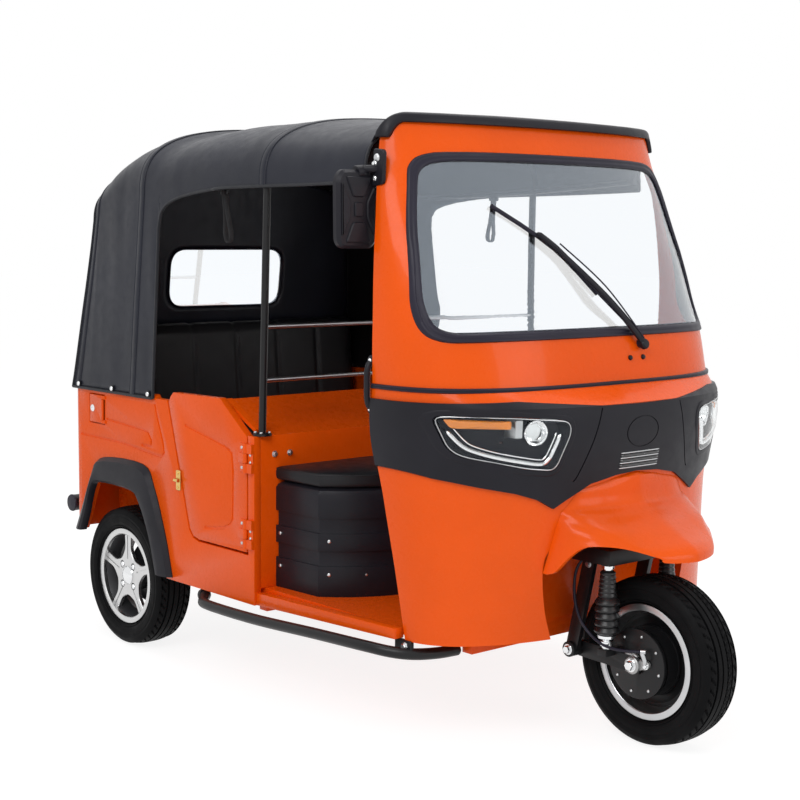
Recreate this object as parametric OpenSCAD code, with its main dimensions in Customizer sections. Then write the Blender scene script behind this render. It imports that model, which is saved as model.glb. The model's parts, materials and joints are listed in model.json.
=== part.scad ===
// Three-wheeled auto rickshaw with a soft top, half doors for the passenger bay and a hung front wheel.
// X runs forward, Y to the left and Z up. The ground is z = 0 and sizes are millimetres.

/* [Wheels] */
// Distance from the rear axle to the front axle
wheelbase = 1920; // [1880:5:1980]
// How far the rear axle lies behind the middle of the vehicle
rear_axle_back = 870; // [860:1:880]
// How far a rear wheel's middle lies inside the body side
wheel_in = 78; // [72:1:84]
// Height of a tyre over its rim
tyre_h = 86; // [78:1:90]
// Width of a tyre
tyre_w = 140; // [130:1:144]
// Diameter on which the tyre sits
rim_d = 322; // [310:1:330]
// Width of a wheel rim
rim_w = 112; // [104:1:120]
// Diameter of the stub that carries a rear wheel
stub_d = 44; // [36:1:50]
// Spokes in a rear wheel
spokes = 5; // [4:1:7]
// Slots in the front wheel's disc
disc_slots = 10; // [6:1:12]

/* [Body] */
// Half the width over the flat body sides
body_hw = 640; // [630:1:650]
// Thickness of body walls and doors
wall = 26; // [20:1:30]
// Height of the body's lower edge
body_low = 293; // [285:1:300]
// Height of the body from its lower edge to the canopy's edge
body_h = 612; // [600:1:624]
// Height of the floor over the body's lower edge
floor_rise = 52; // [44:1:58]
// Thickness of the floor
floor_t = 18; // [12:1:24]
// How far the rear face lies behind the rear axle
tail_reach = 330; // [320:1:340]
// How far the front of the body sides lies ahead of the rear axle
pillar_reach = 812; // [800:1:820]
// Radius of the body's rear corners
corner_r = 62; // [50:1:80]
// How far the wheel arch flares stand out
flare_out = 28; // [20:1:34]
// Width of the pressed grooves in sides and doors
groove_w = 9; // [6:0.5:12]
// Depth of the pressed grooves
groove_d = 3; // [2:0.5:5]

/* [Doors] */
// Length of a door
door_len = 449; // [440:1:460]
// Width of the body post ahead of a door
door_post = 40; // [36:1:50]
// Gap round a door
door_gap = 8; // [6:0.5:10]
// Diameter of a hinge knuckle
knuckle_d = 16; // [14:1:20]
// Diameter of a hinge pin
pin_d = 8; // [6:0.5:10]
// Length of a hinge
hinge_h = 92; // [80:1:100]

/* [Cab front] */
// Steps in each round section of the cab front
cab_steps = 30; // [24:2:48]
// Thickness of the cab front's shell
cab_t = 24; // [16:1:30]
// Height of the cab front's lower edge over the body's lower edge
cab_rise = 22; // [18:1:28]
// Height of the cab front
cab_h = 1485; // [1460:5:1510]
// How far the cab front's rear edge lies behind the front axle
cab_back = 540; // [530:1:550]
// Thickness of the black lamp band
band_t = 9; // [6:0.5:14]
// How far the lamp glasses stand out from the cowl
lamp_out = 13; // [10:0.5:20]
// Width of the screen rubber
rubber_w = 27; // [18:1:34]
// Thickness of the screen glass
glass_t = 6; // [4:0.5:8]
// How far the visor stands out from the screen frame
visor_out = 18; // [12:1:24]
// Thickness of the mudguard
guard_t = 12; // [8:1:16]

/* [Canopy] */
// Thickness of the canopy
canopy_t = 7; // [5:0.5:9]
// Thickness of the bows that carry the canopy
bow_t = 22; // [16:1:28]
// How far the canopy's front edge lies behind the front axle
canopy_back_of_axle = 622; // [615:1:630]
// Height of the canopy's crown over the cab front
roof_rise = 46; // [40:1:52]

/* [Steering] */
// Lean of the steering axis to the rear
rake = 18; // [14:0.5:20]
// How far the steering axis lies behind the front axle at the head tube's foot
steer_back = 165; // [160:1:172]
// Diameter of the steering stem
stem_d = 36; // [30:1:40]
// Half the width of the handlebar
bar_hw = 300; // [280:5:310]

/* [Seats] */
// Height of the driver's box over the floor
box_h = 345; // [325:1:355]
// Thickness of the driver's seat pad
pad_t = 42; // [30:1:60]
// Height of the passenger bench's base over the body's lower edge
bench_rise = 347; // [335:1:365]
// Thickness of the passenger cushion
cushion_t = 110; // [80:5:130]

/* [Hidden] */
$fn = 48;
over = 6;
fit = 0.3;
half_turn = 180;
quarter = 90;
turn = 360;
up = [0, 0, 1];
far = 2 * wheelbase;
rx = -rear_axle_back;
fx = wheelbase - rear_axle_back;
tyre_d = rim_d + 2 * tyre_h;
tyre_r = tyre_d / 2;
rim_r = rim_d / 2;
half_track = body_hw - wheel_in;
belt_z = body_low + body_h;
floor_z = body_low + floor_rise;
floor_low = floor_z - floor_t;
tail_x = rx - tail_reach;
side_rear_x = tail_x + corner_r;
pillar_x = rx + pillar_reach;
door_front_x = pillar_x - door_post;
cab_low = body_low + cab_rise;
cab_top = cab_low + cab_h;
roof_h = cab_top + roof_rise - belt_z;
canopy_x1 = fx - canopy_back_of_axle;
canopy_in = 10;
canopy_x0 = tail_x + canopy_in;
canopy_len = canopy_x1 - canopy_x0;
bench_z = body_low + bench_rise;
// Heights at a share of the body, the cab front and the canopy
function bz(s) = body_low + body_h * s;
function cz(s) = cab_low + cab_h * s;
function rz(s) = belt_z + roof_h * s;
tail_share = 0.147;
tail_low = bz(tail_share);
pillar_share = 0.882;
pillar_z = bz(pillar_share);

// Cab sections in shares: height, rear edge, half width and nose; then squareness
cab_shares = [
  [0, 0.787, 0.945, 0.269, 2.2],
  [0.134, 0.85, 0.961, 0.237, 2.25],
  [0.266, 0.922, 0.977, 0.207, 2.3],
  [0.428, 1, 0.997, 0.148, 2.5],
  [0.456, 1, 0.997, 0.152, 2.5],
  [0.488, 0.998, 0.995, 0.319, 3],
  [0.58, 0.994, 1, 0.374, 2.75],
  [0.655, 0.991, 1, 0.472, 2.58],
  [0.743, 1.002, 0.988, 0.574, 2.38],
  [0.786, 1.009, 0.978, 0.624, 2.2],
  [0.861, 1.03, 0.956, 0.713, 2.05],
  [0.933, 1.074, 0.914, 0.787, 2],
  [1.02, 1.096, 0.875, 0.88, 2]
];
cab_rows = [for (s = cab_shares) [cz(s[0]), -cab_back * s[1], body_hw * s[2], -cab_back * s[3], s[4]]];
// Heights of the facet rows in the cowl, band, lamps and frame, as shares of the cab's height
cowl_shares = [0, 0.134, 0.266, 0.428, 0.456, 0.473, 0.488];
band_row_shares = [0.134, 0.266, 0.428, 0.456, 0.473];
lamp_row_shares = [0.266, 0.428, 0.456];
frame_shares = [0.488, 0.58, 0.655, 0.743, 0.786, 0.861, 0.933, 0.997];
glass_shares = [0.53, 0.58, 0.655, 0.743, 0.786, 0.861, 0.933, 0.98];
joint_z = cz(frame_shares[0]);
function heights(shares) = [for (s = shares) cz(s)];
cowl_zs = heights(cowl_shares);
band_zs = heights(band_row_shares);
lamp_zs = heights(lamp_row_shares);
frame_zs = heights(frame_shares);
glass_zs = heights(glass_shares);

// Outlines on the cab seen from the front, in shares of the half width and of the cab's height
screen_shares = [
  [0, 0.579], [0.598, 0.578], [0.812, 0.576], [0.873, 0.576], [0.919, 0.583], [0.941, 0.595], [0.952, 0.615],
  [0.955, 0.644], [0.95, 0.673], [0.916, 0.786], [0.858, 0.896], [0.836, 0.913], [0.792, 0.929], [0.672, 0.938], [0, 0.939]
];
band_shares = [
  [0, 0.32], [0.144, 0.316], [0.291, 0.304], [0.416, 0.276], [0.475, 0.261], [0.552, 0.28], [0.652, 0.294], [0.791, 0.307],
  [0.927, 0.322], [1.03, 0.341], [1.03, 0.464], [0.656, 0.469], [0.258, 0.456], [0, 0.4545]
];
lamp_shares = [
  [0.456, 0.433], [0.436, 0.413], [0.497, 0.335], [0.625, 0.341], [0.875, 0.366], [0.916, 0.383], [0.956, 0.444], [0.703, 0.442]
];
function on_front(pts) = [for (p = pts) [body_hw * p[0], cz(p[1])]];
screen_pts = on_front(screen_shares);
band_pts = on_front(band_shares);
lamp_pts = on_front(lamp_shares);

// Fork crown and wheel well over the front tyre
crown_gap = 38;
crown_t = 44;
well_gap = 76;
crown_low = tyre_d + crown_gap;
crown_top = crown_low + crown_t;
well_z = crown_top + well_gap;
crown_lift = 24;
steer_z = crown_top + crown_lift;
// Opening for the front wheel: shares of the half width and of the well's height
arch_shares = [[0.41, 0.44], [0.469, 0.613], [0.495, 0.794], [0.469, 0.89], [0.36, 0.982], [0, 1.012]];
arch_pts = [for (p = arch_shares) [body_hw * p[0], well_z * p[1]]];

// Mudguard sections: shares of the well's height, of the half width and of the tyre's diameter; then squareness
guard_root_share = 0.405;
guard_shares = [
  [0.79, 0.498, 0.245, 2], [0.844, 0.486, 0.253, 2], [0.874, 0.478, 0.245, 2.05], [0.897, 0.472, 0.219, 2.15],
  [0.943, 0.461, 0.109, 2.5], [0.992, 0.448, -0.004, 3], [1.038, 0.441, -0.115, 3], [1.072, 0.441, -0.174, 2.6],
  [1.104, 0.447, -0.19, 2.4], [1.143, 0.4625, -0.196, 2.2], [1.178, 0.364, -0.202, 2], [1.19, 0.19, -0.219, 2]
];
guard_rows = [for (s = guard_shares) [well_z * s[0], -tyre_d * guard_root_share, body_hw * s[1], tyre_d * s[2], s[3]]];
// Lower edge of the mudguard seen from the side: shares of the tyre's diameter and of the well's height
guard_edge_shares = [
  [-0.53, 0.6], [-0.34, 0.77], [-0.259, 0.799], [-0.188, 0.867], [-0.107, 0.919], [-0.012, 0.928], [0.087, 0.916], [0.202, 0.882],
  [0.249, 0.857], [0.6, 0.84], [0.6, 0.6]
];

// Canopy sections from front to rear, in shares: place along the canopy, insets of foot and top, spring and crown heights
canopy_shares = [
  [0, 0.016, 0.081, 0.781, 0.972], [0.079, 0.0125, 0.069, 0.77, 0.983], [0.215, 0.009, 0.059, 0.76, 0.991],
  [0.374, 0.006, 0.053, 0.749, 0.999], [0.493, 0.003, 0.05, 0.745, 1], [0.586, 0, 0.05, 0.739, 0.991],
  [0.658, 0, 0.053, 0.733, 0.9745], [0.721, 0, 0.056, 0.73, 0.987], [0.79, 0, 0.0625, 0.724, 0.968],
  [0.852, 0, 0.069, 0.707, 0.9256], [0.907, 0, 0.078, 0.675, 0.864], [0.951, 0, 0.0875, 0.632, 0.802], [1, 0, 0.097, 0.569, 0.728]
];
canopy_rows = [for (s = canopy_shares)
  [canopy_x1 - canopy_len * s[0], body_hw * s[1], body_hw * s[2], rz(s[3]), rz(s[4])]];
arch_steps = 24;
arch_square = 3;
lap_gap = 1.5;
canopy_hw = body_hw + canopy_t + lap_gap;
// Side opening in the canopy: shares of its length and height
side_open_shares = [
  [0.657, -0.064], [0.657, 0.611], [0.649, 0.664], [0.62, 0.702], [0.555, 0.728], [0.412, 0.75], [0.156, 0.7545],
  [-0.032, 0.758], [-0.168, 0.758], [-0.168, -0.064]
];
side_open = [for (p = side_open_shares) [canopy_x1 - canopy_len * p[0], rz(p[1])]];

// Round number power with its sign kept
function bend(c, q) = sign(c) * pow(abs(c), 2 / q);
function column(rows, i) = [for (r = rows) [r[0], r[i]]];
function at(rows, z) = [z, for (i = [1:4]) lookup(z, column(rows, i))];
// One level section of a nose-shaped skin, moved outward by a distance
function nose(r, out) = [
  for (k = [0:cab_steps])
    let (a = half_turn * k / cab_steps - quarter)
      [fx + r[1] + (r[3] - r[1] + out) * bend(cos(a), r[4]), (r[2] + out) * bend(sin(a), r[4]), r[0]]
];
function cab_line(z, out) = nose(at(cab_rows, z), out);
// One upright section of the canopy, drawn in by a distance
function hoop(r, drawn, low) =
  let (foot = canopy_hw - r[1] - drawn, top = canopy_hw - r[2] - drawn, crown = r[4] - drawn)
    concat(
      [[r[0], -foot, low]],
      [for (k = [0:arch_steps])
        let (a = half_turn - half_turn * k / arch_steps)
          [r[0], top * bend(cos(a), arch_square), r[3] + (crown - r[3]) * bend(sin(a), arch_square)]],
      [[r[0], foot, low]]
    );
function mirrored(pts) = concat(pts, [for (i = [len(pts) - 1:-1:0]) if (pts[i][0] > 0) [-pts[i][0], pts[i][1]]]);
function quad(a, b, c, d) = [[a, b, c], [a, c, d]];
function flat(lists) = [for (l = lists) for (e = l) e];
function oval(w, h, q, n) = [for (k = [0:n - 1]) [w * bend(cos(turn * k / n), q), h * bend(sin(turn * k / n), q)]];
// Band of even width along a line of points
function side_of(a, b) = let (v = b - a) [-v[1], v[0]] / norm(v);
function normal_at(p, i) = let (n = len(p))
  i == 0 ? side_of(p[0], p[1]) : i == n - 1 ? side_of(p[n - 2], p[n - 1]) : let (m = side_of(p[i - 1], p[i]) + side_of(p[i], p[i + 1])) m / norm(m);
function ribbon(p, w) = concat(
  [for (i = [0:len(p) - 1]) p[i] + normal_at(p, i) * w / 2],
  [for (i = [len(p) - 1:-1:0]) p[i] - normal_at(p, i) * w / 2]
);

// Closed skin between an outer and an inner grid of points
module skin(outer, inner) {
  nr = len(outer);
  nc = len(outer[0]);
  s = nr * nc;
  points = concat(flat(outer), flat(inner));
  sheet = [for (r = [0:nr - 2]) for (c = [0:nc - 2])
    quad(r * nc + c, (r + 1) * nc + c, (r + 1) * nc + c + 1, r * nc + c + 1)];
  lining = [for (r = [0:nr - 2]) for (c = [0:nc - 2])
    quad(s + r * nc + c, s + r * nc + c + 1, s + (r + 1) * nc + c + 1, s + (r + 1) * nc + c)];
  e = (nr - 1) * nc;
  rims = [for (c = [0:nc - 2]) concat(
    quad(c, c + 1, s + c + 1, s + c),
    quad(e + c + 1, e + c, s + e + c, s + e + c + 1))];
  m = nc - 1;
  sides = [for (r = [0:nr - 2]) concat(
    quad((r + 1) * nc, r * nc, s + r * nc, s + (r + 1) * nc),
    quad(r * nc + m, (r + 1) * nc + m, s + (r + 1) * nc + m, s + r * nc + m))];
  polyhedron(points = points, faces = concat(flat(sheet), flat(lining), flat(rims), flat(sides)));
}

// Solid through closed sections
module loft(rows) {
  nr = len(rows);
  nc = len(rows[0]);
  walls = [for (r = [0:nr - 2]) for (c = [0:nc - 1])
    quad(r * nc + c, (r + 1) * nc + c, (r + 1) * nc + (c + 1) % nc, r * nc + (c + 1) % nc)];
  low = [[for (c = [0:nc - 1]) c]];
  high = [[for (c = [nc - 1:-1:0]) (nr - 1) * nc + c]];
  polyhedron(points = flat(rows), faces = concat(flat(walls), low, high));
}

// Outline in y and z pushed along x
module from_front(x0, x1) {
  translate([x0, 0, 0]) rotate([quarter, 0, quarter]) linear_extrude(x1 - x0) children();
}
// Outline in x and z pushed along y
module from_side(y0, y1) {
  translate([0, y1, 0]) rotate([quarter, 0, 0]) linear_extrude(y1 - y0) children();
}
module box(x0, x1, y0, y1, z0, z1) {
  translate([x0, y0, z0]) cube([x1 - x0, y1 - y0, z1 - z0]);
}
module along_y(y0, y1, d) {
  translate([0, y1, 0]) rotate([quarter, 0, 0]) cylinder(d = d, h = y1 - y0);
}
// Outline of radius and height turned about y
module turned() {
  rotate([quarter, 0, 0]) rotate_extrude() children();
}
// Round bar between two points
module bar(p, q, d) {
  v = q - p;
  l = norm(v);
  translate(p) rotate([0, acos(v[2] / l), atan2(v[1], v[0])]) cylinder(d = d, h = l);
}
module left_hand() {
  mirror([0, 1, 0]) children();
}
module both_hands() {
  children();
  left_hand() children();
}
// Round tube swept along a path of points
tube_sides = 8;
steep_share = 0.9;
function unit(v) = v / norm(v);
function heading(path, i) = unit(path[min(i + 1, len(path) - 1)] - path[max(i - 1, 0)]);
function hoop_round(c, t, r) =
  let (u = unit(cross(abs(t[2]) > steep_share ? [0, 1, 0] : up, t)), v = cross(t, u))
    [for (k = [0:tube_sides - 1]) c + r * (u * cos(turn * k / tube_sides) + v * sin(turn * k / tube_sides))];
module tube(path, d) {
  loft([for (i = [0:len(path) - 1]) hoop_round(path[i], heading(path, i), d / 2)]);
}
// Points on a smooth curve through the given ones
curve_steps = 4;
function blend(a, b, c, d, t) = ((2 * b) + (c - a) * t + (2 * a - 5 * b + 4 * c - d) * t * t
  + (3 * b - a - 3 * c + d) * t * t * t) / 2;
function smooth_path(p) = let (n = len(p)) concat(
  [for (i = [0:n - 2]) for (k = [0:curve_steps - 1])
    blend(p[max(i - 1, 0)], p[i], p[i + 1], p[min(i + 2, n - 1)], k / curve_steps)],
  [p[n - 1]]
);

// Cab front
cab_x0 = fx - 2 * cab_back;
cab_x1 = fx + cab_back;
lamp_x0_share = 0.89;
lamp_x0 = fx - cab_back * lamp_x0_share;
module cab_skin(zs, out, inn) {
  skin([for (z = zs) cab_line(z, out)], [for (z = zs) cab_line(z, inn)]);
}
module lower_cowl() {
  color("OrangeRed") difference() {
    cab_skin(cowl_zs, 0, -cab_t);
    from_front(cab_x0, cab_x1) polygon(mirrored(arch_pts));
  }
}
screen_low = min([for (p = screen_pts) p[1]]);
screen_high = max([for (p = screen_pts) p[1]]);
screen_wide = max([for (p = screen_pts) p[0]]);
screen_mid = (screen_low + screen_high) / 2;
screen_hh = (screen_high - screen_low) / 2;
module screen_hole(drawn) {
  from_front(cab_x0, cab_x1) polygon([
    for (p = mirrored(screen_pts))
      [p[0] * (1 - drawn / screen_wide), screen_mid + (p[1] - screen_mid) * (1 - drawn / screen_hh)]
  ]);
}
module screen_frame() {
  color("OrangeRed") difference() {
    cab_skin(frame_zs, 0, -cab_t);
    screen_hole(0);
  }
}
rubber_out = 5;
glass_in = 4;
module screen_rubber() {
  color("Black") difference() {
    intersection() {
      cab_skin(glass_zs, rubber_out, -cab_t);
      screen_hole(fit);
    }
    screen_hole(rubber_w);
  }
}
module windscreen() {
  color("LightSteelBlue", 0.4) intersection() {
    cab_skin(glass_zs, -glass_in, -glass_in - glass_t);
    screen_hole(rubber_w + fit);
  }
}
trim_out = 7;
trim_h = 14;
module belt_trim() {
  color("DimGray") cab_skin([joint_z - trim_h / 2, joint_z + trim_h / 2], trim_out, fit);
}
module band_outline() {
  from_front(cab_x0, cab_x1) polygon(mirrored(band_pts));
}
module lamp_band() {
  color("Black") difference() {
    intersection() {
      cab_skin(band_zs, band_t, fit);
      band_outline();
    }
    both_hands() lamp_prism(1);
  }
}
lamp_mid_shares = [0.6875, 0.3905];
lamp_mid = on_front([lamp_mid_shares])[0];
lamp_fit_share = 0.985;
module lamp_prism(k) {
  from_front(lamp_x0, cab_x1) polygon([for (p = lamp_pts)
    [-lamp_mid[0] - (p[0] - lamp_mid[0]) * k, lamp_mid[1] + (p[1] - lamp_mid[1]) * k]]);
}
module head_lamps() {
  color("WhiteSmoke") both_hands() intersection() {
    cab_skin(lamp_zs, lamp_out, fit);
    lamp_prism(lamp_fit_share);
  }
}
guard_edge = [for (p = guard_edge_shares) [fx + tyre_d * p[0], well_z * p[1]]];
module mudguard() {
  color("OrangeRed") difference() {
    skin([for (r = guard_rows) nose(r, 0)], [for (r = guard_rows) nose(r, -guard_t)]);
    loft([for (z = band_zs) cab_line(z, fit)]);
    intersection() {
      loft([for (z = band_zs) cab_line(z, band_t + fit)]);
      band_outline();
    }
    from_side(-body_hw, body_hw) polygon(guard_edge);
  }
}
// Visor rows: share of the cab's height and how much of its reach it stands out
visor_rows_shares = [[0.952, 1], [0.99, 1], [1.003, 0.85], [1.009, 0.4], [1.014, -0.6]];
// Lower edge of the visor: shares of the half width and of the cab's height
visor_edge_shares = [
  [0, 0.994], [0.75, 0.994], [0.8, 0.989], [0.828, 0.975], [0.838, 0.9615], [1.2, 0.9615], [1.2, 0.9], [0, 0.9]
];
visor_seat_z = frame_zs[len(frame_zs) - 1] + fit;
visor_x0 = canopy_x1 + fit;
function visor_line(z, out) = let (l = cab_line(z, out)) concat(
  [[visor_x0, l[0][1], z]], l, [[visor_x0, l[len(l) - 1][1], z]]);
module visor() {
  color("Black") difference() {
    loft([for (s = visor_rows_shares) visor_line(cz(s[0]), visor_out * s[1])]);
    loft([for (z = [cz(frame_shares[6]), visor_seat_z])
      [for (p = visor_line(z, fit)) p[0] > visor_x0 ? p : p - [2 * over, 0, 0]]]);
    from_front(cab_x0, cab_x1) polygon(mirrored(on_front(visor_edge_shares)));
  }
}

// Rear body
lap = 12;
lap_end_share = 0.281;
// Body side from the canopy's end forward: shares of the pillar's reach and of the body's height
side_shares = [
  [0.2956, 1], [0.591, 1], [0.788, pillar_share], [1, pillar_share], [1, 0], [0.246, 0], [0.246, tail_share]
];
function on_side(pts) = [for (p = pts) [rx + pillar_reach * p[0], bz(p[1])]];
side_pts = concat(
  [[side_rear_x, tail_low], [side_rear_x, belt_z + lap], [rx + pillar_reach * lap_end_share, belt_z + lap]],
  on_side(side_shares)
);
// Door outline: shares of the door's length from its front and of the body's height
door_shares = [
  [1, 0.993], [0.9755, 1.0245], [0.938, 1.049], [0.336, 1.0556], [0, 0.876], [0, 0.2696], [0.606, 0.2696],
  [0.677, 0.283], [0.7216, 0.3186], [0.824, 0.575]
];
function on_door(pts) = [for (p = pts) [door_front_x - door_len * p[0], bz(p[1])]];
door_pts = on_door(door_shares);
// Wheel arch flare from rear to front: outer edge and inner edge, in shares of the tyre's diameter
flare_shares = [
  [-0.575, 0.775, -0.468, 0.775], [-0.478, 0.951, -0.399, 0.921], [-0.324, 1.235, -0.324, 1.109],
  [-0.202, 1.346, -0.223, 1.162], [0.324, 1.356, 0.186, 1.156], [0.466, 1.2146, 0.324, 1.073],
  [0.607, 0.891, 0.449, 0.86], [0.692, 0.613, 0.53, 0.613]
];
function arch_edge(t) = smooth_path([for (s = flare_shares)
  [rx + tyre_d * (s[2] + (s[0] - s[2]) * t), tyre_d * (s[3] + (s[1] - s[3]) * t)]]);
open_share = 0.5;
open_edge = arch_edge(open_share);
wheel_open = concat(open_edge, [[open_edge[len(open_edge) - 1][0], 0], [open_edge[0][0], 0]]);
// Pressed lines: shares of the pillar's reach and of the body's height
panel_line_shares = [
  [-0.3227, 0.722], [0.031, 0.716], [0.28, 0.684], [0.339, 0.68], [0.362, 0.7], [0.353, 0.761], [0.3276, 0.8415],
  [0.303, 0.923], [0.293, 0.967]
];
swage_shares = [
  [-0.1, 0.8366], [0.053, 0.825], [0.1946, 0.8137], [0.234, 0.8056], [0.2635, 0.763], [0.2586, 0.727], [0.1847, 0.7255]
];
// Pressed line of a door: shares of the door's length and of the body's height
door_line_shares = [
  [0.7795, 0.8807], [0.581, 0.853], [0.39, 0.827], [0.2494, 0.804], [0.183, 0.779], [0.167, 0.6895], [0.167, 0.529],
  [0.174, 0.423], [0.2116, 0.3905], [0.283, 0.369], [0.394, 0.356], [0.53, 0.346]
];
module groove(path) {
  from_side(-body_hw - over, -body_hw + groove_d) polygon(ribbon(path, groove_w));
}
module side_blank() {
  difference() {
    from_side(-body_hw, -body_hw + wall) polygon(side_pts);
    from_side(-body_hw - over, -body_hw + wall + over) offset(delta = door_gap) polygon(door_pts);
    from_side(-body_hw - over, -body_hw + wall + over) polygon(wheel_open);
    groove(on_side(panel_line_shares));
    groove(on_side(swage_shares));
  }
}
// Filler flap
flap_back = 98;
flap_w = 98;
flap_h = 99;
flap_share = 0.8056;
flap_x1 = rx - flap_back;
flap_x0 = flap_x1 - flap_w;
flap_z0 = bz(flap_share);
flap_z1 = flap_z0 + flap_h;
flap_deep = 9;
flap_t = 4;
flap_gap = 5;
flap_barrel = 10;
flap_bore = 5;
flap_pin_d = 4;
flap_pin_in = 6;
flap_pin_out = 3;
flap_x = flap_x1 - flap_pin_in;
flap_y = -body_hw - flap_pin_out;
leaf_in = 16;
lug_h = 12;
lug_gap = 1;
leaf_y0 = flap_y - flap_t / 2;
leaf_y1 = flap_y + flap_t / 2;
module flap_pocket() {
  box(flap_x0 - flap_gap, flap_x1 + flap_gap, -body_hw - over, -body_hw + flap_deep, flap_z0 - flap_gap, flap_z1 + flap_gap);
}
module filler_flap() {
  z0 = flap_z0 + lug_h + lug_gap;
  z1 = flap_z1 - lug_h - lug_gap;
  color("OrangeRed") difference() {
    union() {
      box(flap_x0, flap_x1 - leaf_in, -body_hw, -body_hw + flap_t, flap_z0, flap_z1);
      box(flap_x1 - leaf_in - flap_t / 2, flap_x, leaf_y0, leaf_y1, z0, z1);
      box(flap_x1 - leaf_in - flap_t, flap_x1 - leaf_in, leaf_y0, -body_hw + flap_t / 2, z0, z1);
      translate([flap_x, flap_y, z0]) cylinder(d = flap_barrel, h = z1 - z0);
    }
    translate([flap_x, flap_y, flap_z0 - over]) cylinder(d = flap_bore, h = flap_h + 2 * over);
  }
}
module flap_hinge() {
  translate([flap_x, flap_y, flap_z0 + lug_gap]) cylinder(d = flap_pin_d, h = flap_h - 2 * lug_gap);
  for (z = [flap_z0, flap_z1 - lug_h]) {
    translate([flap_x, flap_y, z]) cylinder(d = flap_barrel, h = lug_h);
    box(flap_x, flap_x1 + lug_h, leaf_y0, -body_hw + flap_t / 2, z, z + lug_h);
  }
}
module body_side_right() {
  color("OrangeRed") {
    difference() {
      side_blank();
      flap_pocket();
    }
    flap_hinge();
  }
}
module body_side_left() {
  color("OrangeRed") left_hand() side_blank();
}
corner_steps = 8;
// Rounded rear corner from the side round to the tail
function corner(r) = [
  for (k = [corner_steps:-1:0])
    let (a = half_turn + quarter * k / corner_steps)
      [side_rear_x + r * cos(a), -body_hw + corner_r + r * sin(a)]
];
function across(pts) = concat(pts, [for (i = [len(pts) - 1:-1:0]) [pts[i][0], -pts[i][1]]]);
tail_inner = corner(corner_r - wall);
// Bolts for a number plate
plate_spacing = 200;
plate_rise = 327;
plate_bolt_d = 6.4;
module tail_panel() {
  color("OrangeRed") difference() {
    translate([0, 0, tail_low]) linear_extrude(belt_z - tail_low) difference() {
      polygon(across(corner(corner_r)));
      polygon(across(concat([[side_rear_x + over, tail_inner[0][1]]], tail_inner)));
    }
    for (y = [-plate_spacing, plate_spacing] / 2)
      translate([tail_x - over, y, body_low + plate_rise]) rotate([0, quarter, 0]) cylinder(d = plate_bolt_d, h = wall + 2 * over);
  }
}
// Section of a flare from its inner edge: shares of its width and of its reach
flare_section_shares = [[0, 0.5], [0.1, 0.9], [0.4, 1], [0.85, 0.7], [1, 0.12]];
module flare() {
  skin(
    [for (s = flare_section_shares) [for (p = arch_edge(s[0])) [p[0], -body_hw - flare_out * s[1], p[1]]]],
    [for (s = flare_section_shares) [for (p = arch_edge(s[0])) [p[0], -body_hw, p[1]]]]
  );
}
module flares() {
  color("Black") both_hands() flare();
}

// Doors
knuckle_gap = 1;
hinge_x = door_front_x + door_gap / 2;
hinge_y = -body_hw - knuckle_d / 2 - knuckle_gap;
hinge_shares = [0.7663, 0.3693];
leaf_t = 5;
leaf_w = 36;
leaf_sink = 2;
module door_blank() {
  difference() {
    union() {
      from_side(-body_hw, -body_hw + wall) polygon(door_pts);
      for (s = hinge_shares) translate([hinge_x, 0, bz(s)]) {
        box(-leaf_w, -knuckle_d / 2 - knuckle_gap, -body_hw - leaf_t, -body_hw + over, -hinge_h / 2, hinge_h / 2);
        box(-leaf_w, 0, hinge_y - leaf_t / 2, -body_hw - leaf_sink, -hinge_h / 6, hinge_h / 6);
        translate([0, hinge_y, -hinge_h / 6]) cylinder(d = knuckle_d, h = hinge_h / 3);
      }
    }
    for (s = hinge_shares) translate([hinge_x, hinge_y, bz(s) - hinge_h]) cylinder(d = pin_d + knuckle_gap, h = 2 * hinge_h);
    groove(on_door(door_line_shares));
  }
}
module hinge_fixed() {
  for (s = hinge_shares) translate([hinge_x, 0, bz(s)]) {
    translate([0, hinge_y, -hinge_h / 2]) cylinder(d = pin_d, h = hinge_h);
    for (z = [-hinge_h / 2, hinge_h / 6 + knuckle_gap]) {
      translate([0, hinge_y, z]) cylinder(d = knuckle_d, h = hinge_h / 3 - knuckle_gap);
      box(0, leaf_w, hinge_y - leaf_t / 2, -body_hw, z, z + hinge_h / 3 - knuckle_gap);
    }
    box(knuckle_d / 2 + knuckle_gap, leaf_w, -body_hw - leaf_t, -body_hw, -hinge_h / 2, hinge_h / 2);
  }
}
module door_right() {
  color("OrangeRed") door_blank();
}
module door_left() {
  color("OrangeRed") left_hand() door_blank();
}
module door_hinges() {
  color("OrangeRed") both_hands() hinge_fixed();
}

// Canopy and its frame
back_foot_in = 18;
back_run_share = 0.0676;
sky = belt_z + 2 * roof_h;
function back_x(z) = canopy_x0 + back_foot_in + canopy_len * back_run_share * (z - belt_z) / roof_h;
module behind_back(x) {
  low = belt_z - over;
  from_side(-far, far) polygon([[-far, low], [back_x(low) + x, low], [back_x(sky) + x, sky], [-far, sky]]);
}
module canopy() {
  color("DarkSlateGray") difference() {
    skin([for (r = canopy_rows) hoop(r, 0, belt_z)], [for (r = canopy_rows) hoop(r, canopy_t, belt_z)]);
    from_side(-far, far) polygon(side_open);
    behind_back(0);
  }
}
back_rows = [for (i = [8:12]) canopy_rows[i]];
module back_slab(inset, t) {
  intersection() {
    difference() {
      behind_back(inset + t);
      behind_back(inset);
    }
    loft([for (r = back_rows) hoop(r, canopy_t + fit, belt_z)]);
  }
}
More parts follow.
